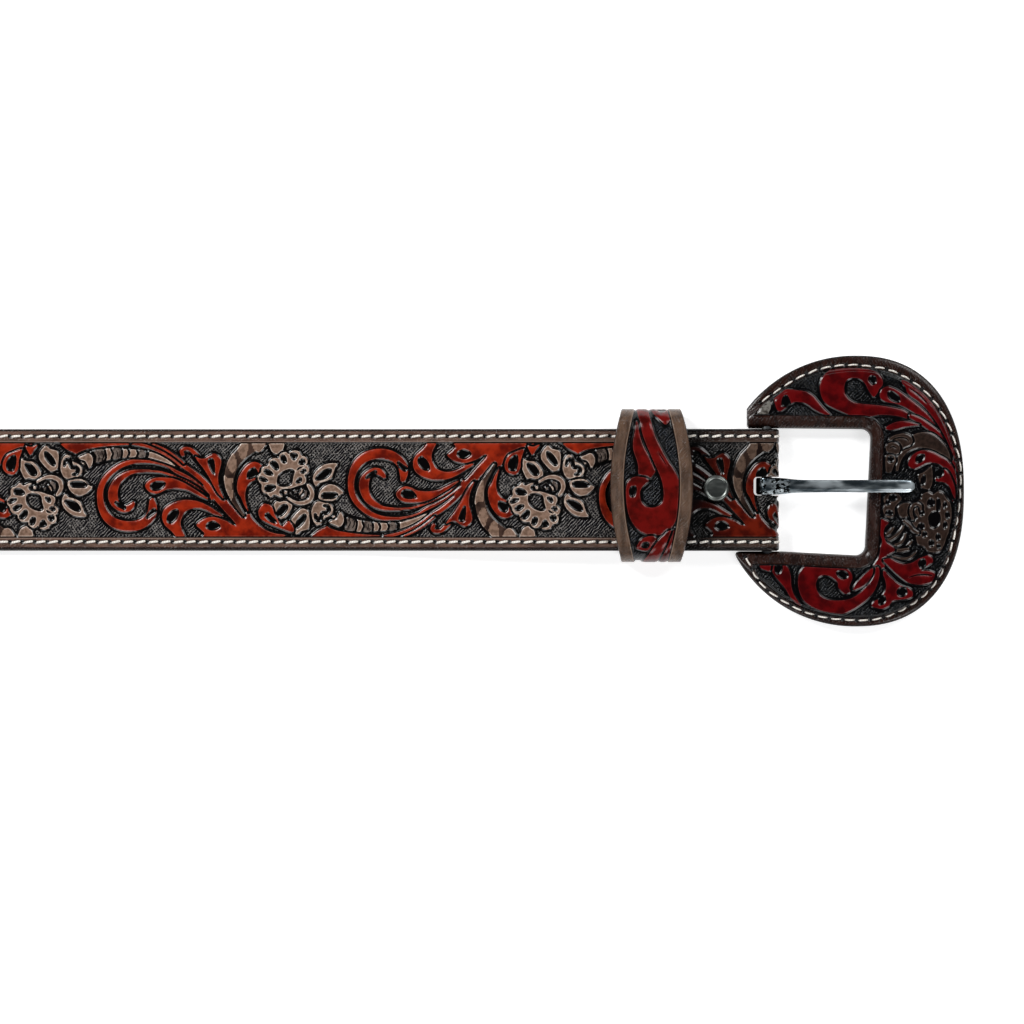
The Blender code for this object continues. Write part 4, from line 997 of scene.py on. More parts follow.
buckleCuts = [
    # upper arm: worn corner, leaf with an eye
    patch("worn", (761, 402), (766, 399.4), (770.4, 401.6), (770.4, 408), (768.4, 412.6), (766.4, 418),
          (764, 422.4), (758, 423.4), (755, 420), (756.6, 414.4), (758, 409), (757, 405)),
    patch("red", (774, 399.4), (777, 396), (781, 393), (785, 389.6), (790, 389.4), (797, 390.4),
          (804, 391.2), (809, 393.2), (814, 397), (818, 402), (822, 406.8), (826.6, 411.6), (830, 415),
          (825, 414.6), (819, 412.2), (814, 409.6), (808, 405.2), (803, 402.6), (797, 402), (793, 402.6),
          (788.6, 405), (785, 408.4), (780, 411.4), (777, 410), (775, 405)),
    patch("hollow", (781.8, 402), (783.4, 397), (786.2, 395.6), (788.8, 399.6), (789.8, 404), (786, 406.2),
          (782.6, 406)),
    # big scroll at the top
    patch("red", (819.6, 388), (820.4, 382), (822.6, 377), (827, 372), (833, 368.6), (845, 367.6),
          (860, 367.8), (870, 369.6), (877.6, 373), (881.6, 378), (882.8, 383), (881.2, 387.4),
          (878.4, 391), (876.2, 394.6), (873.6, 397.2), (870.6, 394), (867.8, 389.4), (865, 384),
          (861.8, 380.4), (857, 378.2), (851, 378.2), (846.2, 381), (844.2, 386), (844.2, 392),
          (846.4, 396.4), (850, 400.2), (856, 403), (865, 404.2), (875, 405), (885, 406.2), (895, 408),
          (903, 410), (908.4, 413.6), (914, 419.4), (908, 419), (900, 416.6), (890, 415.2), (880, 415),
          (870, 416.4), (860, 417.2), (850, 415.2), (840, 411.2), (832, 407.6), (825, 403), (821, 396)),
    patch("hollow", (868.6, 378.6), (870.8, 376.2), (874, 376.4), (875.8, 379), (875.2, 383),
          (872.6, 384.4), (870, 382)),
    # second stem, with its teardrop
    patch("red", (880.2, 398), (880, 393), (882.2, 389), (887, 386.6), (892.6, 388), (899, 391.4),
          (906, 396.2), (913, 401.4), (919.6, 406.6), (926, 412.4), (932, 418.4), (938, 425),
          (943.4, 431.6), (948.4, 439), (944, 436.4), (937, 430.4), (930, 424.6), (923, 419), (917, 414.6),
          (910, 410.2), (903, 406.4), (896, 403.8), (890, 402.8), (884.6, 401.4)),
    patch("hollow", (887.6, 393.6), (891, 391.2), (895.6, 393.6), (899.4, 397.6), (899, 402), (894, 401.4),
          (889.6, 398.6)),
    # stems that run down the right side
    band("red", (911, 416.4, 2), (918, 419.6, 2.6), (926, 424.6, 2.8), (934, 430.6, 2.8), (941, 437.4, 2.8),
         (946.6, 445, 3), (950.4, 453.6, 3.4), (953, 462, 4), (954.6, 471, 3.8), (955, 480, 3.2),
         (954.8, 490, 2.5), (953.6, 500, 1.6)),
    patch("red", (901.6, 380), (907, 381.4), (912.4, 384), (920, 389.4), (926.4, 395), (931.6, 401),
          (937, 408.4), (942, 416.6), (946.6, 425.4), (950.6, 434.6), (953.6, 443.6), (956.4, 452.4),
          (957.4, 460), (953.6, 455), (950, 447), (946, 438.4), (941, 429.4), (936, 421.4), (930, 413.4),
          (924, 406.4), (917, 400.4), (911, 396.4), (907, 392.2), (905.4, 387), (902.6, 384)),
    band("line", (909.6, 388.4, 0.5), (915, 392, 0.8), (921, 397, 0.9), (927, 403, 0.6)),
    patch("red", (885.6, 427.6), (890, 424.4), (896, 422), (903, 421), (910, 422), (915, 423.6),
          (919.6, 425), (912, 426), (905, 427), (898, 428.8), (892, 430), (887, 429.6)),
    # brown leaves over the prong
    band("tan", (897, 470, 1.2), (898.6, 461, 2), (902.4, 453, 3), (909, 445.4, 5), (918, 440.6, 7.2),
         (928, 440.4, 7.8), (937, 445, 6.2), (944, 451.4, 4.4), (949, 459, 1.8)),
    patch("tan", (888.4, 440.6), (892, 436.4), (898, 434.2), (905, 433.6), (910.4, 436), (912.6, 441),
          (910.4, 445), (905.6, 447), (900.4, 449), (898, 444.4), (894, 442)),
    band("line", (893, 439.4, 0.5), (899, 437.6, 0.7), (906, 438.4, 0.7), (909, 441.6, 0.4)),
    patch("tan", (885.8, 449.4), (887, 444.4), (892, 442.4), (897, 443.4), (900, 447.4), (899, 452.4),
          (895, 454.4), (889, 453)),
    band("line", (889.4, 448.6, 0.4), (892.6, 446.4, 0.7), (896.4, 448, 0.6)),
    patch("tan", (886, 456), (890, 454.8), (894.6, 456.6), (895.6, 461), (893.4, 466), (891, 472),
          (886.4, 472), (885.4, 464)),
    patch("hollow", (888, 457.4), (891.4, 456.8), (893.4, 459.4), (891.4, 462.4), (888.4, 461)),
    # red leaf with an eye
    patch("red", (908.2, 465), (909.4, 459), (914, 454), (920, 450.8), (927, 450.4), (934, 452.4),
          (940, 455.6), (946, 458.8), (951, 464), (954.4, 470), (956.6, 478), (957.2, 488), (956, 496),
          (953.8, 487), (951.4, 479.4), (947.6, 472), (942.6, 466.4), (937.4, 463.4), (931.4, 462.6),
          (926, 463.6), (920, 466.6), (915, 468.6), (911, 468)),
    patch("hollow", (915.8, 460.4), (917, 456.6), (920.6, 454.6), (924.4, 455), (923.8, 458.6),
          (921.2, 461.8), (917.6, 462.6)),
    patch("red", (935.4, 480), (939, 474.6), (944, 469.6), (948.6, 472.4), (952, 479), (955, 488),
          (955.4, 499), (952.6, 494), (949.6, 486.6), (944.4, 482.4), (939, 481.6)),
    patch("hollow", (937, 476.4), (940, 471.6), (943.4, 471), (943, 474.4), (940, 477.4)),
    patch("tan", (918.4, 475), (923.4, 472.4), (928, 469), (931.4, 466.6), (932.6, 474), (932.4, 482),
          (929.6, 489), (925, 488.6), (921, 487), (919.4, 481)),
    patch("hollow", (921, 484.6), (921.4, 479), (924.4, 475), (925.4, 479), (924, 484.6)),
    # blossom with its ring of seeds
    patch("tan", (921.4, 499), (922.6, 494.4), (928, 492), (933, 494.4), (938, 491.6), (943, 493),
          (946, 498), (950.2, 503), (951.6, 510), (951.4, 518), (950, 525), (949, 531), (946.4, 538),
          (944, 545), (940, 551), (934, 552.4), (928, 551), (924, 546.4), (918, 544), (916, 538),
          (914, 531.4), (911, 526), (913.6, 521), (918, 518), (914.4, 512), (913.4, 505), (917, 500.4)),
    patch("hollow", (927.8, 502), (930.4, 498.6), (934, 500.4), (934, 505), (930.6, 506.6), (928, 505)),
    band("hollow", (938.4, 500, 1.4), (938.6, 505, 1.8), (938, 511, 1.2)),
    patch("hollow", (943.6, 503.4), (945.8, 502), (947, 505), (945.4, 508), (943.6, 506.4)),
    patch("hollow", (946, 513), (948.4, 512), (949.6, 516), (948, 519), (946, 517)),
    patch("hollow", (929, 517), (932, 512.4), (937, 511.6), (940, 516), (939.6, 523), (935.6, 528),
          (931, 526.6), (929.2, 522)),
    patch("hollow", (919.4, 512.6), (921.6, 510), (924, 511.4), (923.6, 514.6), (921, 515.6)),
    patch("hollow", (917.6, 527), (919.8, 523.4), (923.4, 524), (924, 528), (920.6, 530)),
    patch("hollow", (922.8, 533.6), (924.6, 531.4), (926.8, 533.4), (926, 536.6), (923.4, 536.8)),
    patch("hollow", (936, 537), (937.8, 533.6), (940, 535.6), (940.2, 539), (937.6, 540.6)),
    patch("hollow", (943.6, 524), (945.6, 521.6), (947.2, 524.6), (946, 528.2), (944, 527.4)),
    patch("hollow", (929, 542), (931.4, 540), (934, 542), (933, 546), (930, 546)),
    patch("hollow", (936.8, 545.4), (939, 544), (940.4, 546.6), (938.6, 549)),
    # bud and curl left of the blossom
    patch("tan", (897.6, 509), (900, 505), (905, 503), (910, 503.6), (910, 509.4), (908.4, 515),
          (903.6, 518.4), (899, 514.6)),
    band("tan", (912.6, 519, 1.3), (910.8, 512, 1.4), (912.4, 506.4, 1.5), (916.4, 504, 1.5),
         (920.4, 506, 1.3), (921, 510, 0.9)),
    band("tan", (904, 521, 1.2), (909, 525, 1.4), (913, 530, 1.6), (918, 533, 1.2)),
    patch("tan", (883.6, 500), (886, 494.4), (892, 492.2), (898.4, 494), (901.4, 499), (897.6, 503.4),
          (894.4, 508), (894.4, 514), (891, 517.6), (885.4, 516.4), (883, 510.4), (884.4, 505)),
    patch("hollow", (889, 499.6), (889.6, 496), (893, 494.4), (896.4, 496.4), (895.4, 499.8), (892, 501)),
    patch("hollow", (885.6, 503.6), (886.8, 500.4), (889.6, 500.8), (889.4, 504), (887, 505)),
    patch("hollow", (886, 514.4), (886.4, 511.4), (889.6, 510.4), (892.4, 512.4), (891.6, 515.2)),
    # shell of lines
    band("tan", (886, 540, 1), (890, 539.4, 1.2), (896, 535.6, 1.3), (901, 530.4, 1.2), (903.4, 526, 0.9)),
    band("tan", (886.4, 534.6, 1.5), (889.4, 532.6, 1.6), (893, 528, 1)),
    band("tan", (888, 544.6, 1), (894, 545.2, 1.2), (900, 543.2, 1.3), (904, 538.4, 1.2),
         (905.4, 534, 0.9)),
    band("tan", (903.6, 549, 0.9), (908, 546, 1.2), (911.4, 541.6, 1)),
    band("tan", (892, 549.6, 1.3), (900, 550.4, 1.6), (908, 549, 1.3)),
    band("tan", (893, 556.4, 0.6), (902, 558.6, 1), (910, 557.4, 1.1), (916, 552, 0.7)),
    # red ribbon down to the star of leaves
    patch("red", (877.6, 521), (880, 519), (884, 519.6), (888.4, 522.4), (885, 527), (883.4, 532.4),
          (884.2, 538), (887, 543), (892.6, 546.4), (894.6, 550), (890.4, 553.6), (886.4, 555.4),
          (887, 559), (883, 569), (878, 571), (873, 568), (874.6, 564), (877.4, 559.4), (879.4, 554),
          (880.2, 548), (882, 541), (880.2, 535), (878.6, 528)),
    # big scroll at the bottom
    patch("red", (807, 564.8), (815, 563.6), (830, 565.6), (840, 567.6), (847, 568.8), (851, 573),
          (852.2, 578), (850.4, 583), (849, 588), (850, 592), (845, 593.8), (841, 591), (838, 587),
          (837.6, 583), (834, 579), (829, 576), (824, 575), (819, 577), (816, 582), (816, 588), (819, 594),
          (824, 598), (832, 600.2), (840, 600.4), (849, 599), (857, 595), (863, 590), (868, 584),
          (871, 577), (873, 570), (878, 567), (879.4, 574), (877.4, 583), (873.4, 592), (867.4, 599),
          (860, 605), (852, 610), (843, 613.6), (833, 613), (822, 611), (812, 607), (804, 601), (800, 594),
          (798, 586), (798, 578), (800.4, 571)),
    patch("hollow", (836.4, 573), (840, 570.6), (845, 571.6), (848, 575), (845, 578.6), (840, 577.6)),
    patch("red", (872.4, 568), (866, 573), (860, 579), (855.4, 584), (853, 590), (858, 588.6), (864, 585.4),
          (869, 580), (872.4, 573.6)),
    # leaves of the star
    patch("red", (883.4, 560), (890, 558.4), (897, 562), (905, 564), (912, 562.6), (918, 559), (924, 556.6),
          (928.4, 555.4), (932.4, 558), (932.8, 562), (929.4, 564.6), (925, 567), (921, 570.4), (930, 571),
          (935, 573.4), (934, 578), (931, 582.4), (924, 584.4), (915, 584.4), (908, 582.4), (902, 578.6),
          (896, 573.6), (890.6, 568.4), (886, 563.6)),
    patch("hollow", (918.6, 564), (920, 560.4), (923.6, 558.8), (925.6, 562), (925, 566), (921, 568)),
    band("line", (909, 577.4, 0.4), (916, 575.2, 0.7), (925, 574.6, 0.9), (932, 575.4, 0.6)),
    patch("red", (883.6, 570), (887, 573.4), (892, 578.4), (897, 583), (903, 586.4), (909, 588.2),
          (912.4, 591.4), (912.4, 596), (908, 598.6), (900, 599.6), (893.4, 600.6), (890.4, 603.4),
          (888, 606.4), (882, 608.8), (876, 607.8), (871.6, 606), (874, 601.4), (880, 598), (884, 593),
          (886, 587), (885, 580), (883, 575)),
    patch("hollow", (897, 591.6), (900.4, 587.6), (905.4, 588.4), (906.8, 592.6), (903, 596.4),
          (898.6, 595.4)),
    patch("hollow", (878.4, 602), (880, 597.4), (883.6, 596), (885.6, 599.6), (883.4, 603.6), (880, 604.6)),
    # lower arm: stem and small leaf
    patch("red", (772, 571), (774, 564), (779, 561.4), (784, 563), (788.4, 569), (790.6, 576.6), (791, 585),
          (793, 593), (797, 600), (801, 606), (795.4, 602.8), (790, 597), (786, 590), (781, 583.4),
          (776, 577.6)),
    patch("hollow", (774.6, 570), (775.6, 565.6), (779, 564), (782, 567), (780.4, 572), (777.6, 574)),
    patch("red", (759.6, 563.4), (765.6, 561.4), (771, 561.8), (770.6, 566.6), (769.4, 571), (765, 570),
          (760.6, 568)),
]
# Needle holes of the frame's seam, from the upper arm round to the lower one
buckleStitches = [
    (760.4, 402.6), (766, 398.4), (772.5, 393.7), (783, 387.2), (794, 380), (809, 372.8), (823, 368.2),
    (837, 365.7), (851, 364.8), (866, 365.8), (880, 367.6), (893.5, 371.2), (905, 376.8),
    (915.5, 383.2), (926.5, 392.2), (935.5, 402), (943, 413), (949.2, 424.6), (954.2, 438),
    (958.4, 452), (961.2, 466), (961.4, 480), (960.8, 495), (959.4, 510), (957.2, 522), (954.8, 534),
    (951.8, 545), (948.3, 558), (943.4, 570), (937, 581), (929, 591), (919.5, 599), (909, 606),
    (897, 612.5), (884, 617.4), (870, 620), (855, 620.2), (840, 619.4), (822.5, 617), (807, 612.6),
    (793, 606.6), (781, 599.4), (767.5, 589.8), (757, 578.2), (750, 565), (745, 557),
]


def roundedCorner(before, corner, after, radius, count=12):
    toBefore, toAfter = (before - corner).normalized(), (after - corner).normalized()
    halfAngle = toBefore.angle(toAfter) / 2
    centre = corner + (toBefore + toAfter).normalized() * (radius / math.sin(halfAngle))
    reach = radius / math.tan(halfAngle)
    first, last = corner + toBefore * reach - centre, corner + toAfter * reach - centre
    start = math.atan2(first.y, first.x)
    turn = (math.atan2(last.y, last.x) - start + math.pi) % (2 * math.pi) - math.pi
    return [
        tuple(centre + Vector((math.cos(start + turn * t), math.sin(start + turn * t))) * radius)
        for t in np.linspace(0, 1, count)
    ]


def windowEdge():
    s = buckleShape
    upper = Vector((s["upperEnd"], s["windowTop"][0]))
    lower = Vector((s["lowerEnd"], s["windowBottom"][0]))
    topLeft, bottomLeft = [Vector((s["besideStrap"], end.y)) for end in (upper, lower)]
    topRight = Vector((s["windowRight"][0], s["windowTop"][1]))
    bottomRight = Vector((s["windowRight"][1], s["windowBottom"][1]))
    corners = roundedCorner(topLeft, topRight, bottomRight, s["corner"])
    corners += roundedCorner(topRight, bottomRight, bottomLeft, s["corner"])
    return np.array([tuple(upper), tuple(topLeft)] + corners + [tuple(bottomLeft), tuple(lower)])


def outerEdge(angle):  # angle in degrees: a circle towards the strap, a squarer curve on the far side
    s = buckleShape
    c, n = np.cos(np.radians(angle)), s["squareness"]
    side = np.sin(np.radians(angle))
    squarer = (np.abs(c / s["reach"]) ** n + np.abs(side / s["radius"]) ** n) ** (-1 / n)
    radius = np.where(c <= 0, s["radius"], squarer)
    return np.stack([radius * c, radius * side], -1)


def frameStations():  # inner and outer ends of evenly spaced sections, and the rim's width there
    s = buckleShape
    rows = smoothRows(s["rows"], False, 40)
    window = windowEdge()
    along = np.concatenate([[0], np.cumsum(np.hypot(*np.diff(window, axis=0).T))])

    def ends(rows):
        share = np.clip(rows[:, 0], 0, 1) * along[-1]
        inner = np.stack([np.interp(share, along, window[:, 0]), np.interp(share, along, window[:, 1])], 1)
        outer = outerEdge(rows[:, 1])
        isPast = (outer[:, 0] < s["upperEnd"]) & (outer[:, 1] > 0)
        outer[isPast] = np.stack([
            np.full(isPast.sum(), s["upperEnd"]), np.minimum(outer[isPast, 1], s["upperTop"])
        ], 1)
        return inner, outer

    inner, outer = ends(rows)
    step = np.maximum(np.hypot(*np.diff(inner, axis=0).T), np.hypot(*np.diff(outer, axis=0).T))
    total = np.concatenate([[0], np.cumsum(np.maximum(step, 1e-4))])
    even = np.linspace(0, total[-1], s["stations"])
    rows = np.stack([np.interp(even, total, column) for column in rows.T], 1)
    return (*ends(rows), rows[:, 2])


def makeFrame(holes):
    s = buckleShape
    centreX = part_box("buckle_frame")[1].x / mm - s["reach"]
    inner, outer, rim = frameStations()
    width = np.hypot(*(outer - inner).T)
    across = (outer - inner) / width[:, None]
    squeeze = np.minimum(1, width / s["fullWidth"])
    lowering = mix(s["lowArm"], 1.0, smoothStep(width / s["fullWidth"]))
    top = np.linspace(0, 1, s["topColumns"])
    rings = []
    sides = len(s["outerProfile"]) - 1
    for k in range(len(width)):
        fromOuter = [(d * squeeze[k], h) for d, h in s["outerProfile"]]
        fromOuter += [(d * squeeze[k] * rim[k], h) for d, h in s["rimProfile"]]
        fromInner = [(width[k] - d * squeeze[k], h) for d, h in s["innerProfile"]]
        face = smoothRows(np.array(fromOuter[sides:] + fromInner[:s["innerOnFace"]]), False, 4)
        run = np.concatenate([[0], np.cumsum(np.hypot(*np.diff(face, axis=0).T))])
        even = np.stack([np.interp(top * run[-1], run, column) for column in face.T], 1)
        profile = np.vstack([np.array(fromOuter[:sides]), even, np.array(fromInner[s["innerOnFace"]:])])
        at = outer[k] - across[k] * profile[:, :1]
        t = (s["reach"] - at[:, 0]) / (s["reach"] + s["radius"])
        z = s["rise"] * t + 4 * s["crown"] * t * (1 - t) + profile[:, 1] * lowering[k]
        rings.append(np.column_stack([at, z]))
    rings = np.array(rings)
    isTop = np.zeros(rings.shape[1], dtype=bool)
    isTop[sides:sides + s["topColumns"]] = True
    flatPoints = rings[:, isTop, :2].reshape(-1, 2)
    shape = (len(rings), int(isTop.sum()))
    angles = np.linspace(s["rows"][0][1], s["rows"][-1][1], 300)
    toOuter = lineDistance(flatPoints, outerEdge(angles)).reshape(shape)
    toWindow = lineDistance(flatPoints, windowEdge()).reshape(shape)
    pixels = np.stack(toPixel(flatPoints[:, 0] + centreX, flatPoints[:, 1]), -1)
    raised, tone, smooth = [part.reshape(shape) for part in carve(pixels, buckleCuts)]
    line = np.array([fromPixel(*point) for point in buckleStitches]) - np.array([centreX, 0])
    line = smoothRows(line, False, 6)
    toSeam = lineDistance(flatPoints, line).reshape(shape)
    isInsideSeam = toOuter > s["stitchInset"] * rim[:, None]
    fromSeam = np.where(isInsideSeam, toSeam, -toSeam) - s["seamRoom"]
    fromBand = toWindow - s["band"]
    field = np.minimum(fromSeam, fromBand)
    isBand = smoothStep((fromSeam - fromBand) / s["bandBlend"] + 0.5)
    raised = np.minimum(raised * photo["mmPerPixel"], field - tooling["crease"])
    hole = np.full(shape, farAway)
    near = toSeam < tooling["holeReach"]
    hole[near] = pointDistance(flatPoints.reshape(*shape, 2)[near], holes[:, :2] - np.array([centreX, 0]))
    channel = -s["channel"] * np.exp(-(toSeam / s["channelHalf"]) ** 4)
    border = creaseHeight(field, s["bandLine"]) + channel + holeDepth(hole)
    height = withBorder(border, reliefHeight(raised) * s["relief"], field)
    fadeOut = smoothStep(toOuter / s["flatEdge"]) * smoothStep(toWindow / s["flatEdge"])
    rings[:, isTop, 2] += height * fadeOut
    ends = np.minimum(np.arange(len(rings)), np.arange(len(rings))[::-1])
    middle = rings.mean(1, keepdims=True)
    flatMiddle = middle[:, 0, :2]
    fromEnd = np.minimum(*[np.hypot(*(flatMiddle - flatMiddle[end]).T) for end in (0, -1)])
    fromEnd[ends > s["endStations"]] = s["radius"]
    gone = np.maximum(0, s["endRound"] - fromEnd)
    shrink = s["endRound"] - np.sqrt(np.maximum(0, s["endRound"] ** 2 - gone ** 2))
    toMiddle = middle - rings
    reach = np.linalg.norm(toMiddle, axis=2, keepdims=True)
    inwards = np.minimum(shrink[:, None, None], reach * s["endShrink"])
    rings = rings + toMiddle / np.maximum(reach, 1e-6) * inwards
    rings[..., 0] += centreX
    attributes = {}
    values = {"raised": (raised, -1), "tone": (tone, 0), "smooth": (smooth, 0), "field": (field, -3),
              "inner": (isBand, 0), "hole": (hole, farAway), "edge": (toOuter, 0.1)}
    for key, (part, rest) in values.items():
        whole = np.full(rings.shape[:2], float(rest))
        whole[:, isTop] = part
        if key == "inner":
            whole[:, sides + s["topColumns"]:] = 1
        attributes[key] = whole
    return meshFromRings("tooledBuckleFrame", rings, attributes)


def onSurface(obj, points):  # height and normal of a mesh under points, for its stitches
    surface = BVHTree.FromObject(obj, bpy.context.evaluated_depsgraph_get())
    rows = []
    for x, y in points:
        place, normal, _, _ = surface.ray_cast(Vector((x, y, 50)) * mm, Vector((0, 0, -1)))
        rows.append((x, y, place.z / mm, *normal))
    return np.array(rows)


# Metals: patch, scratch and pit are mm across, depths are in mm
metals = {
    # Nickel plate on a cast prong, rubbed bright by use: a satin shine with long scratches and dark pits
    "agedNickelPlate": {"colour": "#c6cfd3", "dark": "#5b676e", "patina": "#0d0f10", "rough": (0.26, 0.42),
                        "patch": 2.6, "scratch": 0.3, "scratchDepth": 0.006, "pit": 0.95, "pitDepth": 0.03},
    # Nickel plate on a pressed brass cap, barrel-finished: dull and even, with fine handling marks
    "satinNickelPlate": {"colour": "#7f837f", "dark": "#696d6a", "patina": "#1c1c1a", "rough": (0.32, 0.42),
                         "patch": 2.0, "scratch": 0.3, "scratchDepth": 0.006, "pit": 1.0, "pitDepth": 0.03},
    # Mild steel rod, cold drawn and oiled: dark, with lines along it
    "drawnSteelRod": {"colour": "#77797b", "dark": "#4c4e50", "patina": "#141414", "rough": (0.3, 0.42),
                      "patch": 2.5, "scratch": 0.2, "scratchDepth": 0.006, "pit": 1.0, "pitDepth": 0.03},
}


def metalMaterial(name):
    look = metals[name]
    material, tree = newMaterial(name)
    place = addNode(tree, "ShaderNodeTexCoord", output="Object")
    engraved, tarnished = [
        addNode(tree, "ShaderNodeAttribute", output="Fac", attribute_name=key)
        for key in ("engraved", "tarnished")
    ]
    noises = []
    for key, detail, alongX in (("patch", 3.0, 0.3), ("scratch", 2.0, 0.15), ("pit", 1.0, 1.0)):
        at = addNode(tree, "ShaderNodeMapping", {"Vector": place, "Scale": (alongX, 1, 1)})
        noises.append(addNode(tree, "ShaderNodeTexNoise", {
            "Vector": at, "Scale": 1 / (look[key] * mm), "Detail": detail,
        }))
    steps = []
    for source, low, high, toLow, toHigh in (
        (noises[0], 0.36, 0.64, 0.0, 1.0), (noises[2], 0.5, 0.44, 0.0, 1.0),
        (noises[0], 0.3, 0.7, *look["rough"]),
    ):
        steps.append(addNode(tree, "ShaderNodeMapRange", {
            "Value": source, "From Min": low, "From Max": high, "To Min": toLow, "To Max": toHigh,
        }, interpolation_type="SMOOTHSTEP"))
    pitted = addNode(tree, "ShaderNodeMath", {0: steps[1], 1: engraved}, operation="MULTIPLY")
    pitted = addNode(tree, "ShaderNodeMath", {0: pitted, 1: tarnished}, operation="MAXIMUM")
    colour = addNode(tree, "ShaderNodeMix", {
        0: steps[0], 1: toLinear(look["dark"]), 2: toLinear(look["colour"]),
    }, data_type="RGBA")
    colour = addNode(tree, "ShaderNodeMix", {
        0: pitted, 1: colour, 2: toLinear(look["patina"]),
    }, data_type="RGBA")
    scratches = addNode(tree, "ShaderNodeMath", {
        0: noises[1], 1: look["scratchDepth"],
    }, operation="MULTIPLY")
    height = addNode(tree, "ShaderNodeMath", {
        0: pitted, 1: -look["pitDepth"], 2: scratches,
    }, operation="MULTIPLY_ADD")
    bump = addNode(tree, "ShaderNodeBump", {"Height": height, "Strength": 1.0, "Distance": mm})
    shader = addNode(tree, "ShaderNodeBsdfPrincipled", {
        "Base Color": colour, "Metallic": 1.0, "Roughness": steps[2], "Normal": bump,
    })
    addNode(tree, "ShaderNodeOutputMaterial", {"Surface": shader})
    return material


# Prong: a hook round the bar, then a shank that rises to lie on the far side of the frame
prongShape = {
    "loopInside": 1.85, "loopWall": 1.5, "loopBevels": (0.5, 0.6), "hookEnd": -15.0, "hookTurn": 255.0,
    "steps": 10,
    "tarnish": 0.9, "tarnishFrom": 0.93, "tarnishFade": 0.25,  # on the loop, below this share of its height
    "engraved": (0.8, 7.6), "engravedFade": (0.6, 0.8),  # mm from the bar
    "rows": [  # distance from the bar, height over it, width, thickness, far bevel, near bevel
        (0.0, 2.6, 5.3, 1.5, 0.7, 1.1), (2.5, 2.42, 5.3, 2.1, 0.9, 1.7), (5.5, 2.48, 4.9, 2.5, 0.85, 1.6),
        (9.5, 2.66, 4.15, 2.6, 0.5, 1.2), (17.0, 3.08, 3.95, 2.55, 0.42, 1.05),
        (27.0, 3.62, 3.9, 2.5, 0.42, 1.0), (34.5, 3.88, 3.9, 2.4, 0.42, 1.0),
        (40.0, 3.72, 3.9, 2.2, 0.42, 0.95), (43.9, 3.42, 3.8, 2.0, 0.5, 0.9),
        (45.1, 3.3, 3.0, 1.7, 0.5, 0.7), (45.9, 3.22, 1.6, 1.0, 0.3, 0.35),
    ],
}


# One section: bevels "far" and "near" run along its top edges, with a small hollow line beside the near one
def prongRing(centreX, centreZ, normalX, normalZ, width, thick, far, near):
    half, side = thick / 2, width / 2
    farDrop, nearDrop = min(far * 0.7, half * 0.6), min(near * 0.62, half * 0.9)
    under = min(0.4, half * 0.5)
    corners = [
        (half, side - far), (half - farDrop * 0.25, side - far * 0.45), (half - farDrop, side),
        (under - half, side), (-half, side - under), (-half, under - side), (under - half, -side),
        (half - nearDrop, -side), (half - nearDrop * 0.93, 0.12 - side),
        (half - 0.05, near - 0.08 - side), (half, near + 0.06 - side),
    ]
    line = []
    for k, (h, s) in enumerate(corners):
        nextH, nextS = corners[(k + 1) % len(corners)]
        for t in (0.0, 0.34, 0.67):
            line.append((mix(h, nextH, t), mix(s, nextS, t)))
    return [(centreX + normalX * h, prongY + s, centreZ + normalZ * h) for h, s in line]


def makeProng():
    s = prongShape
    middle = s["loopInside"] + s["loopWall"] / 2
    rings, engraved, tarnished = [], [], []
    section = (s["rows"][0][2], s["loopWall"], *s["loopBevels"])
    for angle in np.radians(np.linspace(s["hookEnd"], s["hookEnd"] - s["hookTurn"], 64)[:-1]):
        c, z = math.cos(angle), math.sin(angle)
        rings.append(prongRing(barX + c * middle, barZ + z * middle, c, z, *section))
        engraved.append(1.0)
        tarnished.append(float(smoothStep((s["tarnishFrom"] - z) / s["tarnishFade"])) * s["tarnish"])
    rows = smoothRows(s["rows"], False, s["steps"])
    slope = np.gradient(rows[:, 1], rows[:, 0])
    slope[0] = 0
    for row, rise in zip(rows, slope):
        size = math.hypot(1, rise)
        place = (barX + row[0], barZ + row[1], -rise / size, 1 / size)
        rings.append(prongRing(*place, *row[2:]))
        isPast = smoothStep((row[0] - s["engraved"][0]) / s["engravedFade"][0])
        isBefore = smoothStep((s["engraved"][1] - row[0]) / s["engravedFade"][1])
        engraved.append(float(isPast * isBefore))
    tarnished += [0.0] * len(rows)
    rings = np.array(rings)
    attributes = {
        key: np.repeat(np.array(part)[:, None], rings.shape[1], 1)
        for key, part in (("engraved", engraved), ("tarnished", tarnished))
    }
    prong = meshFromRings("nickelProng", rings, attributes)
    prong.data.set_sharp_from_angle(angle=math.radians(28))
    return prong


# Stud: a low pressed cap over the strap, its post, and a flange underneath
studShape = {
    "turns": 56, "capBase": 7.9, "flangeTop": 2.0, "postRadius": 1.6,
    # radius and height, outwards over the cap, then inwards under the flange
    "cap": [(0.0, 1.0), (1.2, 1.01), (2.3, 0.98), (2.85, 0.9), (3.05, 0.93), (3.2, 1.08), (3.4, 1.15),
            (3.6, 1.1), (3.85, 0.9), (4.02, 0.65), (4.1, 0.4), (4.1, 0.1), (3.95, 0.0)],
    "flange": [(4.2, 0.0), (4.4, -0.15), (4.4, -0.5), (4.15, -0.78), (3.7, -0.9), (2.2, -0.86),
               (1.2, -0.78), (0.0, -0.76)],
}


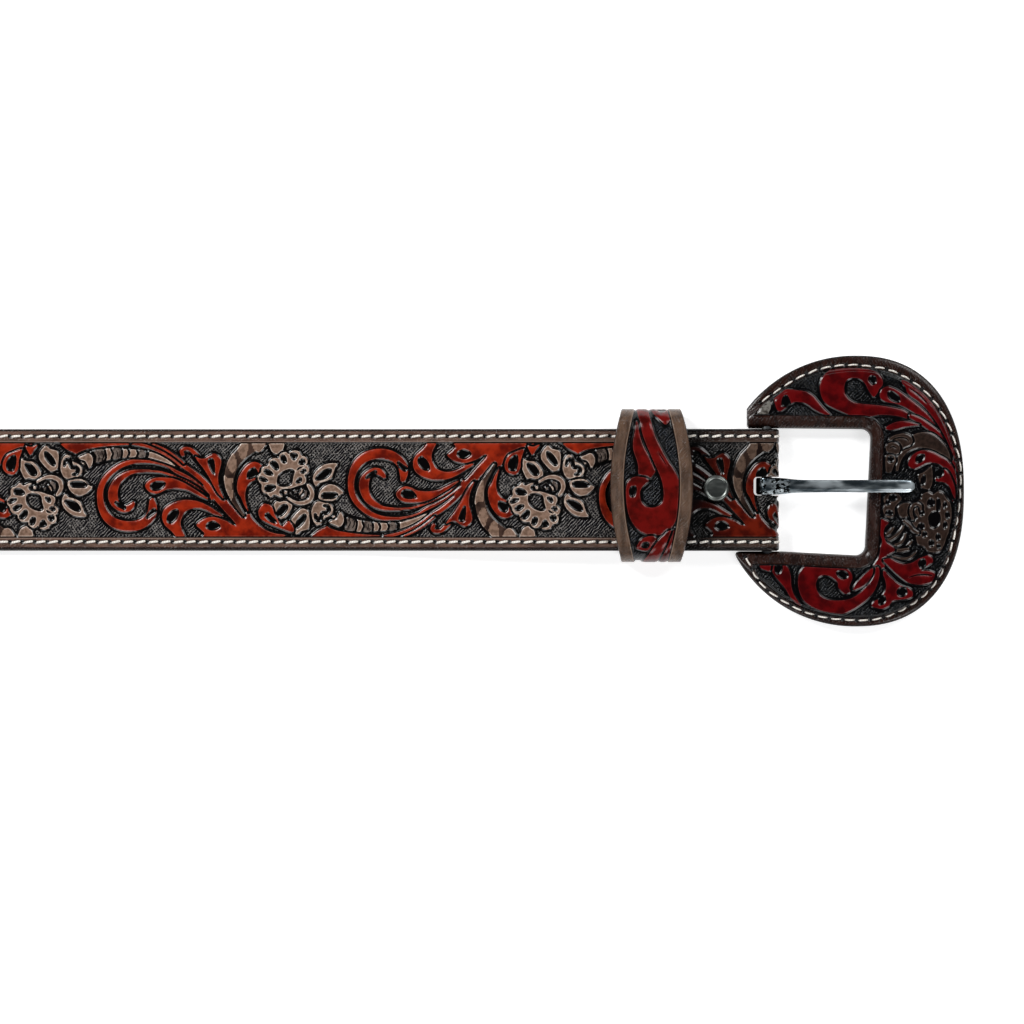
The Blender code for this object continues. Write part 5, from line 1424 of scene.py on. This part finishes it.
def makeStud():
    s = studShape
    low, high = [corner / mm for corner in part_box("stud")]
    centreX, centreY = (low.x + high.x) / 2, (low.y + high.y) / 2
    profile = [(r, s["capBase"] + h) for r, h in s["cap"]]
    profile += [(s["postRadius"], s["capBase"]), (s["postRadius"], s["flangeTop"])]
    profile += [(r, s["flangeTop"] + h) for r, h in s["flange"]]
    build = bmesh.new()
    poles = [build.verts.new((centreX * mm, centreY * mm, z * mm)) for z in (profile[0][1], profile[-1][1])]
    rings = []
    turn = [2 * math.pi * k / s["turns"] for k in range(s["turns"])]
    for r, z in profile[1:-1]:
        places = [(centreX + r * math.cos(a), centreY + r * math.sin(a), z) for a in turn]
        rings.append([build.verts.new(Vector(place) * mm) for place in places])
    for k in range(s["turns"]):
        j = (k + 1) % s["turns"]
        build.faces.new((poles[0], rings[0][k], rings[0][j]))
        build.faces.new((poles[1], rings[-1][j], rings[-1][k]))
        for first, second in zip(rings, rings[1:]):
            build.faces.new((first[k], second[k], second[j], first[j]))
    bmesh.ops.recalc_face_normals(build, faces=build.faces)
    mesh = bpy.data.meshes.new("nickelStud")
    build.to_mesh(mesh)
    build.free()
    for polygon in mesh.polygons:
        polygon.use_smooth = True
    mesh.set_sharp_from_angle(angle=math.radians(50))
    return addObject("nickelStud", mesh)


# Stitches: one tree for every seam, lengths in mm and slants in degrees
threadShape = {
    "strapSeam": (2.42, 0.72, 9.0), "buckleSeam": (3.05, 0.54, 4.0),  # stitch length, thread width, slant
    "slantVariation": 3.5, "rise": 0.26, "sink": 0.42, "seed": 7, "curveSteps": 8, "sides": 8,
}
# Polyester thread, twisted and waxed: soft white with slanting plies, 0.7 mm a turn, darker between the
# plies and in dirty patches
threadPaint = {
    "light": "#f3eee6", "dark": "#cfc8be", "twist": 0.7, "twistDepth": 0.04, "dirt": 1.4, "cleanest": 0.45,
    "rough": 0.5,
}


def stitchTree():
    tree = bpy.data.node_groups.new("stitchesAlongSeam", "GeometryNodeTree")
    tree.interface.new_socket("Points", in_out="INPUT", socket_type="NodeSocketGeometry")
    for name in ("Stitch length", "Thread width", "Rise", "Sink", "Slant", "Slant variation"):
        tree.interface.new_socket(name, in_out="INPUT", socket_type="NodeSocketFloat")
    tree.interface.new_socket("Seed", in_out="INPUT", socket_type="NodeSocketInt")
    tree.interface.new_socket("Thread", in_out="INPUT", socket_type="NodeSocketMaterial")
    tree.interface.new_socket("Stitches", in_out="OUTPUT", socket_type="NodeSocketGeometry")
    given = tree.nodes.new("NodeGroupInput").outputs

    sums = {}
    for key, operation, first, second in (
        ("right", "MULTIPLY", given["Stitch length"], 0.5),
        ("left", "MULTIPLY", given["Stitch length"], -0.5),
        ("sunk", "MULTIPLY", given["Sink"], -1.0), ("bow", "MULTIPLY", given["Rise"], 3.2),
        ("radius", "MULTIPLY", given["Thread width"], 0.5),
        ("least", "SUBTRACT", given["Slant"], given["Slant variation"]),
        ("most", "ADD", given["Slant"], given["Slant variation"]),
    ):
        sums[key] = addNode(tree, "ShaderNodeMath", {0: first, 1: second}, operation=operation)
    ends = [
        addNode(tree, "ShaderNodeCombineXYZ", {"X": x, "Z": z})
        for x, z in ((sums["left"], sums["sunk"]), (0.0, sums["bow"]), (sums["right"], sums["sunk"]))
    ]
    line = addNode(tree, "GeometryNodeCurveQuadraticBezier", {
        "Resolution": threadShape["curveSteps"], "Start": ends[0], "Middle": ends[1], "End": ends[2],
    })
    ring = addNode(tree, "GeometryNodeCurvePrimitiveCircle", {
        "Resolution": threadShape["sides"], "Radius": sums["radius"],
    })
    parts = []
    for name, curve, output in (("threadAlong", line, "Length"), ("threadAround", ring, "Factor")):
        value = addNode(tree, "GeometryNodeSplineParameter", output=output)
        parts.append(addNode(tree, "GeometryNodeStoreNamedAttribute", {
            "Geometry": curve, "Name": name, "Value": value,
        }, data_type="FLOAT", domain="POINT"))
    stitch = addNode(tree, "GeometryNodeCurveToMesh", {
        "Curve": parts[0], "Profile Curve": parts[1], "Fill Caps": True,
    })
    stitch = addNode(tree, "GeometryNodeSetShadeSmooth", {"Geometry": stitch, "Shade Smooth": True})
    vectors = [
        addNode(tree, "GeometryNodeInputNamedAttribute", {"Name": name}, data_type="FLOAT_VECTOR")
        for name in ("seamDirection", "seamNormal")
    ]
    turn = addNode(tree, "FunctionNodeAlignRotationToVector", {"Vector": vectors[0]},
                   axis="X", pivot_axis="AUTO")
    turn = addNode(tree, "FunctionNodeAlignRotationToVector", {"Rotation": turn, "Vector": vectors[1]},
                   axis="Z", pivot_axis="X")
    slant = addNode(tree, "FunctionNodeRandomValue", {
        "Min": sums["least"], "Max": sums["most"], "Seed": given["Seed"],
    }, data_type="FLOAT")
    lean = addNode(tree, "FunctionNodeAxisAngleToRotation", {"Axis": (0, 0, 1), "Angle": slant})
    turn = addNode(tree, "FunctionNodeRotateRotation", {"Rotation": turn, "Rotate By": lean},
                   rotation_space="LOCAL")
    placed = addNode(tree, "GeometryNodeInstanceOnPoints", {
        "Points": given["Points"], "Instance": stitch, "Rotation": turn,
    })
    solid = addNode(tree, "GeometryNodeRealizeInstances", {"Geometry": placed})
    painted = addNode(tree, "GeometryNodeSetMaterial", {"Geometry": solid, "Material": given["Thread"]})
    addNode(tree, "NodeGroupOutput", {"Stitches": painted})
    return tree


def threadMaterial():
    material, tree = newMaterial("waxedWhiteThread")
    place = addNode(tree, "ShaderNodeTexCoord", output="Object")
    along, around = [
        addNode(tree, "ShaderNodeAttribute", output="Fac", attribute_name=key)
        for key in ("threadAlong", "threadAround")
    ]
    turns = addNode(tree, "ShaderNodeMath", {0: along, 1: threadPaint["twist"] * mm}, operation="DIVIDE")
    plies = addNode(tree, "ShaderNodeMath", {0: around, 1: turns}, operation="ADD")
    angle = addNode(tree, "ShaderNodeMath", {0: plies, 1: 2 * math.pi}, operation="MULTIPLY")
    ply = addNode(tree, "ShaderNodeMath", {0: angle}, operation="SINE")
    twist = addNode(tree, "ShaderNodeMapRange", {"Value": ply, "From Min": -1.0, "From Max": 0.4})
    dirt = addNode(tree, "ShaderNodeTexNoise", {
        "Vector": place, "Scale": 1 / (threadPaint["dirt"] * mm), "Detail": 2.0,
    })
    clean = addNode(tree, "ShaderNodeMapRange", {
        "Value": dirt, "From Min": 0.3, "From Max": 0.5, "To Min": threadPaint["cleanest"],
    })
    shade = addNode(tree, "ShaderNodeMath", {0: twist, 1: clean}, operation="MULTIPLY")
    colour = addNode(tree, "ShaderNodeMix", {
        0: shade, 1: toLinear(threadPaint["dark"]), 2: toLinear(threadPaint["light"]),
    }, data_type="RGBA")
    height = addNode(tree, "ShaderNodeMath", {0: twist, 1: threadPaint["twistDepth"]}, operation="MULTIPLY")
    bump = addNode(tree, "ShaderNodeBump", {"Height": height, "Strength": 1.0, "Distance": mm})
    shader = addNode(tree, "ShaderNodeBsdfPrincipled", {
        "Base Color": colour, "Roughness": threadPaint["rough"], "Normal": bump,
    })
    addNode(tree, "ShaderNodeOutputMaterial", {"Surface": shader})
    return material


def makeStitches(name, points, normals, size, tree, material):  # points and normals in mm
    length, width, slant = size
    around = np.vstack([points[:1], points, points[-1:]])
    direction = around[2:] - around[:-2]
    direction /= np.linalg.norm(direction, axis=1, keepdims=True)
    mesh = bpy.data.meshes.new(name)
    mesh.from_pydata((points * mm).tolist(), [], [])
    for key, values in (("seamDirection", direction), ("seamNormal", normals)):
        layer = mesh.attributes.new(key, "FLOAT_VECTOR", "POINT")
        layer.data.foreach_set("vector", np.ascontiguousarray(values, dtype=np.float32).reshape(-1))
    stitches = addObject(name, mesh)
    sockets = {item.name: item.identifier for item in tree.interface.items_tree}
    modifier = stitches.modifiers.new("stitches", "NODES")
    modifier.node_group = tree
    values = {
        "Stitch length": length * mm, "Thread width": width * mm, "Rise": threadShape["rise"] * mm,
        "Sink": threadShape["sink"] * mm, "Slant": math.radians(slant),
        "Slant variation": math.radians(threadShape["slantVariation"]), "Seed": threadShape["seed"],
        "Thread": material,
    }
    for key, value in values.items():
        modifier[sockets[key]] = value
    toPlainMesh(stitches)
    return stitches


# All pieces
strapSeam, strapHoles = resample(strapStitchLine(), strapShape["stitchPitch"])
strap = makeStrap(strapHoles)
finishPiece(strap, leatherMaterial("paintedToolingLeather", strapPaint), "belt", "strap")
keeper = makeKeeper()
finishPiece(keeper, leatherMaterial("paintedKeeperLeather", keeperPaint), "belt", "keeper")

seam = smoothRows([fromPixel(*point) for point in buckleStitches], False, 6)
seamLine = np.column_stack([seam, np.zeros(len(seam))])
seamLength = np.hypot(*np.diff(seam, axis=0).T).sum()
buckleSeam, buckleHoles = resample(seamLine, seamLength / (len(buckleStitches) - 1))
buckleFrame = makeFrame(buckleHoles)
finishPiece(buckleFrame, leatherMaterial("lacqueredBuckleLeather", bucklePaint), "buckle", "buckle_frame")

prong = makeProng()
finishPiece(prong, metalMaterial("agedNickelPlate"), "prong", "prong")
stud = makeStud()
finishPiece(stud, metalMaterial("satinNickelPlate"), "belt", "stud")
rod = frame["nodes"]["buckle_bar"]
rod.data.materials.clear()
rod.data.materials.append(metalMaterial("drawnSteelRod"))

tree, thread = stitchTree(), threadMaterial()
flatNormals = np.column_stack([strapSeam[:, 3], np.zeros(len(strapSeam)), strapSeam[:, 4]])
strapStitches = makeStitches(
    "strapStitches", strapSeam[:, :3], flatNormals, threadShape["strapSeam"], tree, thread,
)
finishPiece(strapStitches, thread, "belt", None)
seated = onSurface(buckleFrame, buckleSeam[:, :2])
frameStitches = makeStitches(
    "buckleStitches", seated[:, :3], seated[:, 3:], threadShape["buckleSeam"], tree, thread,
)
finishPiece(frameStitches, thread, "buckle", None)


# Floor, light and camera: lengths in m, but subjectHeight and fibre in mm. The floor is uncoated white
# paper, pressed: even and matte with a faint tooth, and lit enough to hide its edges.
studio = {
    "distance": 1.5, "farClip": 10.0, "sensor": 36.0, "subjectHeight": 6.0, "aim": (0.02, 0, 0),
    "floor": "#e6e6e6", "floorGlow": 0.8, "floorHalf": 3.0, "floorDrop": 0.0002, "fibre": 1.1111,
    "world": "#45474a",
    "lights": [
        {"at": (-0.55, 0.5, 0.66), "size": 0.34, "power": 8.2},
        {"at": (0.6, 0.55, 0.62), "size": 0.5, "power": 4.6},
        {"at": (0.6, -0.7, 0.55), "size": 0.4, "power": 3.7},
        {"at": (-0.3, -0.8, 0.55), "size": 0.5, "power": 2.8},
    ],
}


def makeStudio():
    scene = bpy.context.scene
    scene.view_settings.view_transform = "Standard"
    size = studio["floorHalf"]
    corners = [(-size, -size, 0), (size, -size, 0), (size, size, 0), (-size, size, 0)]
    mesh = bpy.data.meshes.new("floor")
    mesh.from_pydata(corners, [], [(0, 1, 2, 3)])
    material, tree = newMaterial("matteWhitePaper")
    place = addNode(tree, "ShaderNodeTexCoord", output="Object")
    fibre = addNode(tree, "ShaderNodeTexNoise", {
        "Vector": place, "Scale": 1 / (studio["fibre"] * mm), "Detail": 3.0,
    })
    bump = addNode(tree, "ShaderNodeBump", {"Height": fibre, "Strength": 0.2, "Distance": 0.0001})
    shader = addNode(tree, "ShaderNodeBsdfPrincipled", {
        "Base Color": toLinear(studio["floor"]), "Roughness": 0.9, "Normal": bump,
        "Emission Color": toLinear(studio["floor"]), "Emission Strength": studio["floorGlow"],
    })
    addNode(tree, "ShaderNodeOutputMaterial", {"Surface": shader})
    mesh.materials.append(material)
    floor = addObject("floor", mesh)
    floor.location.z = -studio["floorDrop"]
    for row in studio["lights"]:
        light = bpy.data.lights.new("softbox", "AREA")
        light.shape = "DISK"
        light.size = row["size"]
        light.energy = row["power"]
        lamp = bpy.data.objects.new("softbox", light)
        lamp.location = row["at"]
        aim = Vector(studio["aim"]) - lamp.location
        lamp.rotation_euler = aim.to_track_quat("-Z", "Y").to_euler()
        scene.collection.objects.link(lamp)
    world = bpy.data.worlds.new("studioWorld")
    world.use_nodes = True
    background = next(node for node in world.node_tree.nodes if node.type == "BACKGROUND")
    background.inputs[0].default_value = toLinear(studio["world"])
    scene.world = world
    lens = bpy.data.cameras.new("camera")
    lens.sensor_width = studio["sensor"]
    lens.clip_end = studio["farClip"]
    view = photo["width"] * photo["mmPerPixel"]
    lens.lens = studio["sensor"] * (studio["distance"] / mm - studio["subjectHeight"]) / view
    camera = bpy.data.objects.new("camera", lens)
    centreX, centreY = fromPixel(photo["centre"], photo["centre"])
    camera.location = (centreX * mm, centreY * mm, studio["distance"])
    scene.collection.objects.link(camera)
    scene.camera = camera


makeStudio()
print("studio done")
